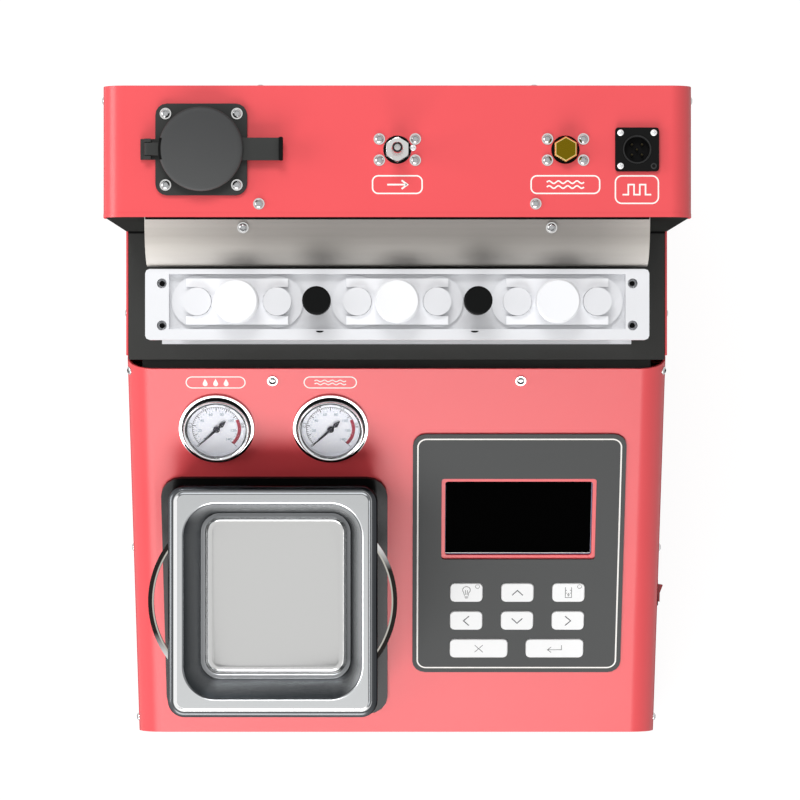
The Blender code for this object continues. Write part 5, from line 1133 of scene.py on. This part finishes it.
for name, turn in (("right", 0.0), ("left", math.pi)):
    spot = tank_top @ at_point(0, 0, 0, turn)
    outer = strap_mesh("strap", 1.2, STRAP, -2.6 - STRAP_TALL, -2.9)
    inner = strap_mesh("strap_edge", 0.0, 1.2, -2.6 - STRAP_TALL, -2.6)
    # One steel strap in two colours: its outer part painted dark with a painted light end, its inner edge painted light
    # as a highlight.
    add_piece("handle_strap_" + name, outer, chrome_strap_painted_light, at=spot, body="tank", edge_mm=0.35)
    add_piece("handle_edge_" + name, inner, strap_edge_painted_highlight, at=spot, body="tank", edge_mm=0.15)
print("two strap handles")

# %% [markdown]
# ## Keypad
# The keypad plate is a printed polyester film on a stiff sheet. A white line runs round it.
# Its window shows a margin of the red cover, and in that the black face of the display. The
# keys are white silicone with thin grey symbols. Each symbol rides on its own key, so it
# goes down with it.

# %% Keypad prints
KEYPAD_X = 94.7 * MM
PLATE_TOP = 1.5 * MM
plate_face = slope_face @ at_point(KEYPAD_X, -160.9 * MM, PLATE_TOP)
border = frame_line(157.6 * MM, 204.0 * MM, 7.4 * MM, 1.15 * MM)
add_piece("keypad_border", border, white_ink, at=plate_face)

lcd_film = new_finish("violet_polariser_film", "#4C3F78", 0.25)
grain(lcd_film, 3.0, 0.001, gloss=(0.2, 0.3))
lcd_place = slope_face @ at_point(KEYPAD_X, -129.4 * MM)
film = sheet("film", [rounded(113.6 * MM, 64.4 * MM, 0.8 * MM)], -1.75 * MM, -1.5 * MM)
add_piece("display_film", film, lcd_film, at=lcd_place)
glass = sheet("glass", [rounded(112.6 * MM, 62.4 * MM, 0.8 * MM, centre=(-0.3 * MM, 0.8 * MM))], -1.5 * MM, -0.6 * MM)
add_piece("display_glass", glass, screen_glass, at=lcd_place, edge_mm=0.15)
line = sheet("line", [rounded(112.6 * MM, 0.5 * MM, 0.2 * MM, centre=(-0.3 * MM, -30.7 * MM))], -1.5 * MM, -0.75 * MM)
add_piece("display_edge", line, white_ink, at=lcd_place)
print("display glass 112.6 x 62.4 mm")

# %% Key symbols
KEY_FACE = 2.5 * MM
THIN = 0.48 * MM


def line_symbol(*lines):
    """One mesh of several thin lines, each a list of points in millimetres."""
    strokes = [(stroke(millimetres(points), THIN, closed), Matrix.Identity(4)) for points, closed in lines]
    return gather("symbol", strokes)


def chevron(angle):
    """An open arrow that points along an angle."""
    mesh = stroke(millimetres([(-2.2, 4.2), (2.2, 0), (-2.2, -4.2)]), 0.75 * MM)
    return gather("chevron", [(mesh, Matrix.Rotation(math.radians(angle), 4, "Z"))])


bulb_round = [(3.0 * math.cos(math.radians(a)), 3.0 * math.sin(math.radians(a)) + 2.6) for a in range(-52, 233, 15)]
bulb = line_symbol(
    ([(-1.4, -2.6)] + bulb_round[::-1] + [(1.4, -2.6)], False), ([(-1.5, -3.6), (1.5, -3.6)], False),
    ([(-1.1, -4.6), (1.1, -4.6)], False), ([(-0.8, 2.4), (-0.5, -1.8)], False), ([(0.8, 2.4), (0.5, -1.8)], False),
)
tap = line_symbol(
    ([(-2.4, 5.0), (-2.4, -4.2), (2.4, -4.2), (2.4, 5.0)], False), ([(-2.4, 2.2), (-1.2, 2.2)], False),
    ([(-2.4, -0.2), (-1.2, -0.2)], False), ([(2.4, 2.2), (1.2, 2.2)], False), ([(2.4, -0.2), (1.2, -0.2)], False),
    ([(0, -2.8), (-0.6, -1.6), (0, -0.4), (0.6, -1.6)], True),
)
leave = line_symbol(([(-3.2, -3.2), (3.2, 3.2)], False), ([(-3.2, 3.2), (3.2, -3.2)], False))
accept = line_symbol(
    ([(5.5, 3.0), (5.5, -1.0), (-5.5, -1.0)], False), ([(-2.6, 1.4), (-5.5, -1.0), (-2.6, -3.4)], False),
)
SYMBOLS = {
    "light": (bulb, -1, 1), "up": (chevron(90), 0, 1), "drain": (tap, 1, 1),
    "left": (chevron(180), -1, 0), "down": (chevron(-90), 0, 0), "right": (chevron(0), 1, 0),
    "exit": (leave, -0.748, -1), "enter": (accept, 0.748, -1),
}
lamp_ring = sheet("lamp_ring", [ring(1.8 * MM, 32), ring(1.45 * MM, 32)], 0.01 * MM, PRINT)
for name, (symbol, column, row) in SYMBOLS.items():
    spot = slope_face @ at_point(KEYPAD_X + column * 39.9 * MM, (row * 25.2 - 219.3) * MM, KEY_FACE)
    ink = black_ink if name in ("up", "left", "down", "right") else grey_ink
    add_piece("symbol_" + name, symbol, ink, at=spot, body="key_" + name)
    if name in ("light", "drain"):
        lamp_spot = spot @ at_point(8.6 * MM, 5.6 * MM)
        add_piece("key_lamp_" + name, lamp_ring, grey_ink, at=lamp_spot, body="key_" + name)
print("symbols on", len(SYMBOLS), "keys")

# %% [markdown]
# ## Front hem and filler cap
# The cover of the tower ends in a hem that laps the front edge of the bay liner. The filler
# cap is a shallow rubber dome. A slit frees it from its strap, and its tab is curled up at
# the end for a finger. Thin black pieces are painted shade: in the slit, on the curled end
# of the tab and in the gap behind the hood. A dark bead along the corner of the deck is its
# dark joint line and the shade in that corner.

# %% Hem and cap
BEND = 15.0


def arch(grow, foot):
    """Half of the tower cover's outline seen from the front, in millimetres from its top."""
    radius = BEND + grow
    middle = SIDE_X / MM - BEND
    points = [(middle + radius, -foot)]
    for step in range(13):
        angle = math.radians(90 * step / 12)
        points.append((middle + radius * math.cos(angle), radius * math.sin(angle) - BEND))
    return points


outer, inner = arch(0.15, 30), arch(-1.2, 30)
outline = outer + [(-x, y) for x, y in reversed(outer)]
outline += [(-x, y) for x, y in inner] + list(reversed(inner))
HEM_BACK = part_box("tower_cover")[0].y + 0.4 * MM
hem_place = Matrix.Translation((0, HEM_BACK, TOP_Z)) @ Matrix.Rotation(math.radians(90), 4, "X")
add_piece("front_hem", sheet("hem", [millimetres(outline)], 0, 2.9 * MM), red_coat, at=hem_place)

DOME = millimetres([
    (0, 13.2), (8, 13.1), (15, 12.85), (21, 12.5), (25.5, 12.15), (27.8, 11.9), (28.8, 11.4), (29.3, 10.7), (29.4, 9.8),
    (29.4, 9.2), (0, 9.2),
])
cap_place = tower_top @ at_point(FILLER_X, FITTING_Y)
add_piece("cap_dome", turned("dome", DOME, 96), rubber, at=cap_place, body="cap")
# Painted shade: a black sheet in the slit between the cap and its strap.
slit = arc_band(27.9, 29.6, math.radians(165), math.radians(195), rise_mm=1.6)
rubber_painted_shade = new_finish("black_painted_shade", "#0B0B0B", 0.8, Specular_IOR_Level=0.1)
grain(rubber_painted_shade, 0.8, 0.01, gloss=(0.72, 0.86))
add_piece("cap_slit_shade", slit, rubber_painted_shade, at=cap_place @ Matrix.Translation((0, 0, 10.4 * MM)), body="cap")
# Painted shade: the curled end of the tab is a black piece.
curl = sheet("curl", [rounded(3.0 * MM, 16.4 * MM, 1.0 * MM, 4)], 8.4 * MM, 12.9 * MM)
add_piece("tab_curl_shade", curl, rubber_painted_shade, at=cap_place @ at_point(55.7 * MM, 0), body="cap", edge_mm=0.8)

# Painted shadow: a thin black strip lies in the gap where the hood meets the tower.
hood_edge = HEM_BACK - 3.4 * MM
hood_line = seat((0.05, hood_edge, 1), (0, 0, -1), ["light_hood"]).translation
strip = sheet("strip", [rounded(353 * MM, 1.7 * MM, 0.4 * MM, 4)], -0.3 * MM, 0.35 * MM)
strip_place = Matrix.Translation((0, hood_edge, hood_line.z))
add_piece("hood_gap_shadow", strip, rubber_painted_shade, at=strip_place)
# A thin dark bead along the corner of deck and backboard stands for the dark joint line and the shade in that corner.
deck_z = seat((-0.19, 0.12, 0.4), (0, 0, -1), ["bay_liner"]).translation.z
board_y = seat((-0.19, 0.10, 0.3), (0, 1, 0), ["bay_liner"]).translation.y
liner_low, liner_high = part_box("bay_liner")
bead = sheet("bead", [rounded(liner_high.x - liner_low.x - 3 * MM, 1.5 * MM, 0.5 * MM, 4)], 0.05 * MM, 1.2 * MM)
add_piece("deck_joint_and_shade", bead, rubber_painted_shade, at=Matrix.Translation((0, board_y - 0.85 * MM, deck_z)), edge_mm=0.4)
print("hem and cap are on; hood meets the tower at Y", round(hood_edge / MM, 1), "deck at Z", round(deck_z / MM, 1))

# %% [markdown]
# ## Fittings
# A black rubber washer fills the hole round each hexagon. The pulse socket has three pan
# head screws, an empty fourth hole, and five contact pins inside a collar.

# %% Fitting details
GASKET = [ring(9.75 * MM, 64), spread([(9.0 * MM * y, 9.0 * MM * x) for x, y in HEXAGON], 6)]
gasket_mesh = sheet("gasket", GASKET, -1.7 * MM, -0.5 * MM)
# This black is the rubber washers round the hexagons, and painted shade in the rack's holes and half-moons.
black_rubber_and_hole_shade = new_finish("black_rubber_and_painted_hole_shade", "#060606", 0.8, Specular_IOR_Level=0.1)
grain(black_rubber_and_hole_shade, 0.8, 0.02, gloss=(0.72, 0.88))
for name, x in (("outlet", 0.0), ("air", AIR_X)):
    add_piece("washer_" + name, gasket_mesh, black_rubber_and_hole_shade, at=tower_top @ at_point(x, FITTING_Y))
add_piece("earth_screw", PAN, white_acetal, at=tower_top @ at_point(11 * MM, 198.5 * MM, 0.1 * MM))

# Painted highlight: a light brass ring on the chamfer of the air fitting's hexagon.
brass_painted_highlight = new_finish("brass_edge_painted_highlight", "#EAD98C", 0.2, metallic=1.0)
grain(brass_painted_highlight, 0.4, 0.002, gloss=(0.15, 0.25))
sizes = [(8.92, 8.1), (8.92, 8.2), (8.2, 9.05), (7.75, 9.05), (7.75, 8.2)]
rings = [(spread([(reach * MM * y, reach * MM * x) for x, y in HEXAGON], 4), height * MM) for reach, height in sizes]
edge = loft("air_edge_highlight", rings, endless=True)
add_piece("air_edge_highlight", edge, brass_painted_highlight, at=tower_top @ at_point(AIR_X, FITTING_Y))
# Painted reflection: a dark ring on top of the outlet nipple stands for the dark things it mirrors.
lip = turned("lip", millimetres([(2.25, 28.8), (2.25, 29.03), (3.3, 29.03), (3.55, 28.8)]), 40)
add_piece("nipple_lip", lip, steel_painted_dark, at=tower_top @ at_point(0, FITTING_Y))

socket_top = Matrix.Translation((SOCKET_X, FITTING_Y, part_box("pulse_socket")[1].z))
for number, (side, end) in enumerate(((-1, 1), (1, 1), (-1, -1))):
    spot = socket_top @ at_point(side * 11.6 * MM, end * 11.6 * MM, 0, 0.1 * number)
    add_piece("socket_screw_%d" % (number + 1), PAN, nickel_plate, at=spot)
# Painted highlight: the collar and the ring of the empty hole are a lighter black than the socket.
socket_ridge = new_finish("black_nylon_painted_highlight", "#262626", 0.35, Specular_IOR_Level=0.3)
grain(socket_ridge, 0.6, 0.01, gloss=(0.30, 0.42))
dark_pin = new_finish("blackened_brass_pin", "#3A3424", 0.3, metallic=1.0)
grain(dark_pin, 0.4, 0.003, gloss=(0.25, 0.36))
hole = turned("hole", millimetres([(1.2, -0.05), (1.2, 0.08), (2.0, 0.08), (2.1, 0.0), (2.1, -0.05)]), 32)
add_piece("socket_hole_ring", hole, socket_ridge, at=socket_top @ at_point(11.6 * MM, -11.6 * MM))
collar = turned("collar", millimetres([(9.9, -7.9), (9.9, -0.2), (9.7, 0.1), (9.2, 0.1), (9.0, -0.2), (9.0, -7.9)]), 64)
add_piece("socket_collar", collar, socket_ridge, at=socket_top)
pin = turned("pin", millimetres([(0, -7.9), (0.9, -7.9), (0.9, -3.2), (0.5, -2.4), (0, -2.2)]), 20)
pins = [(pin, Matrix.Identity(4))] + [(pin, at_point(*polar(5.0, math.radians(45 + 90 * n)))) for n in range(4)]
add_piece("socket_pins", gather("pins", pins), dark_pin, at=socket_top)
print("fittings dressed")

# %% Outlet fitting
NIPPLE_RINGS = [
    (3.6, 7.0), (3.5, 7.4), (3.5, 24.9), (4.0, 25.1), (3.5, 28.7), (3.3, 28.98), (2.4, 28.98), (2.2, 28.7), (2.2, 14.0),
]


def clipped(outline, radius):
    """An outline with its corners cut back to a radius."""
    return [tuple(Vector(point) * min(1.0, radius / Vector(point).length)) for point in outline]


hexagon = spread([(8.834 * MM * y, 8.834 * MM * x) for x, y in HEXAGON], 8)
rings = [(hexagon, -4.9 * MM), (hexagon, 5.9 * MM), (clipped(hexagon, 8.2 * MM), 6.8 * MM)]
rings += [(clipped(hexagon, 7.5 * MM), 7.0 * MM)]
rings += [(echo(hexagon, radius * MM), height * MM) for radius, height in NIPPLE_RINGS]
plate = sheet("plate", [rounded(37 * MM, 27 * MM, 1.0 * MM)], -4.8 * MM, -1.8 * MM)
tail = turned("tail", millimetres([(0, -18.8), (6.0, -18.8), (6.0, -4.7), (0, -4.7)]), 32)
parts = [(loft("hexagon", rings), Matrix.Identity(4)), (plate, Matrix.Identity(4)), (tail, Matrix.Identity(4))]
fitting_place = tower_top @ at_point(0, FITTING_Y)
add_piece("outlet_body", gather("outlet", parts), nickel_plate, at=fitting_place, node="outlet_fitting")
print("outlet corners:", sum(len(mesh.vertices) for mesh, place in parts))

# %% [markdown]
# ## Rack and tubes
# Dark discs deep in the counterbores of the rack are painted shade in their through holes, and two
# dark half-moons at the edge of the recess are painted shade too. Each tube has a printed scale on its
# front, and stands on a seal. The scale is drawn flat, then wrapped round the glass.

# %% Rack bolts and tube scales
RACK_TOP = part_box("rack_top_plate")[1].z
RACK_Y = (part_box("rack_top_plate")[0].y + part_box("rack_top_plate")[1].y) / 2
# Painted shade: a dark disc fills the through hole at the foot of each counterbore.
bolt = turned("rack_hole_shade", millimetres([(0, -9.9), (1.85, -9.9), (1.85, -8.6), (1.6, -8.3), (0, -8.3)]), 32)
for number, (side, end) in enumerate(((-1, 1), (1, 1), (-1, -1), (1, -1))):
    spot = Matrix.Translation((side * 166.25 * MM, RACK_Y + end * 14.85 * MM, RACK_TOP))
    add_piece("rack_bolt_%d" % (number + 1), bolt, black_rubber_and_hole_shade, at=spot)

# Painted shade: two dark half-moons at the edge of the recess.
notch_edge = [(2.8 * math.cos(math.radians(angle)), 1.3 * math.sin(math.radians(angle))) for angle in range(180, 361, 10)]
notch = sheet("notch", [millimetres(notch_edge)], 0.02 * MM, 0.2 * MM)
for side, across in (("left", -54.6), ("right", 54.6)):
    spot = Matrix.Translation((across * MM, 71.3 * MM, RACK_TOP))
    add_piece("rack_notch_shade_" + side, notch, black_rubber_and_hole_shade, at=spot)

TUBE_RADIUS = 19.0 * MM
SCALE_LOW, SCALE_HIGH = 250, 410


def wrap(mesh, radius):
    """Bend a flat print round an upright cylinder, on its front."""
    for vertex in mesh.vertices:
        x, y, out = vertex.co
        reach = radius + out
        vertex.co = (reach * math.sin(x / radius), -reach * math.cos(x / radius), y)
    return mesh


def tube_scale():
    """Ticks every 4 mm and a number at every fifth tick, wrapped on a tube."""
    parts = []
    for count in range((SCALE_HIGH - SCALE_LOW) // 4 + 1):
        reach = 7.0 if count % 5 == 0 else 4.0
        corners = spread([(-5, -0.2), (reach - 5, -0.2), (reach - 5, 0.2), (-5, 0.2)], 5)
        mark = sheet("mark", [millimetres(corners)], 0.02 * MM, 0.10 * MM)
        height = (SCALE_LOW + 4 * count) * MM
        parts.append((mark, Matrix.Translation((0, height, 0))))
        if count % 5 == 0 and count:
            parts.append((number_mesh(str(count * 2), 3.2), Matrix.Translation((6.2 * MM, height, 0.03 * MM))))
    return wrap(gather("tube_scale", parts), TUBE_RADIUS)


scale = tube_scale()
seal = turned("tube_seal", millimetres([(19.2, 0.05), (20.4, 0.05), (20.9, 0.6), (20.4, 1.3), (19.2, 1.4)]), 64)
seal_rubber = new_finish("tube_seal_rubber", "#202122", 0.7, Specular_IOR_Level=0.3)
grain(seal_rubber, 0.8, 0.01, gloss=(0.62, 0.78))
for number in range(1, 7):
    low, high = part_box("glass_tube_%d" % number)
    centre = ((low.x + high.x) / 2, (low.y + high.y) / 2)
    spot = Matrix.Translation((*centre, 0))
    add_piece("tube_scale_%d" % number, scale, white_ink, at=spot)
    floor_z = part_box("rack_bottom_plate")[1].z
    add_piece("tube_seal_%d" % number, seal, seal_rubber, at=Matrix.Translation((*centre, floor_z)))
print("scales and seals on six tubes")

# %% Finish
def corners(box):
    """The two corners of a box as plain lists."""
    return [[round(value, 6) for value in corner] for corner in box]
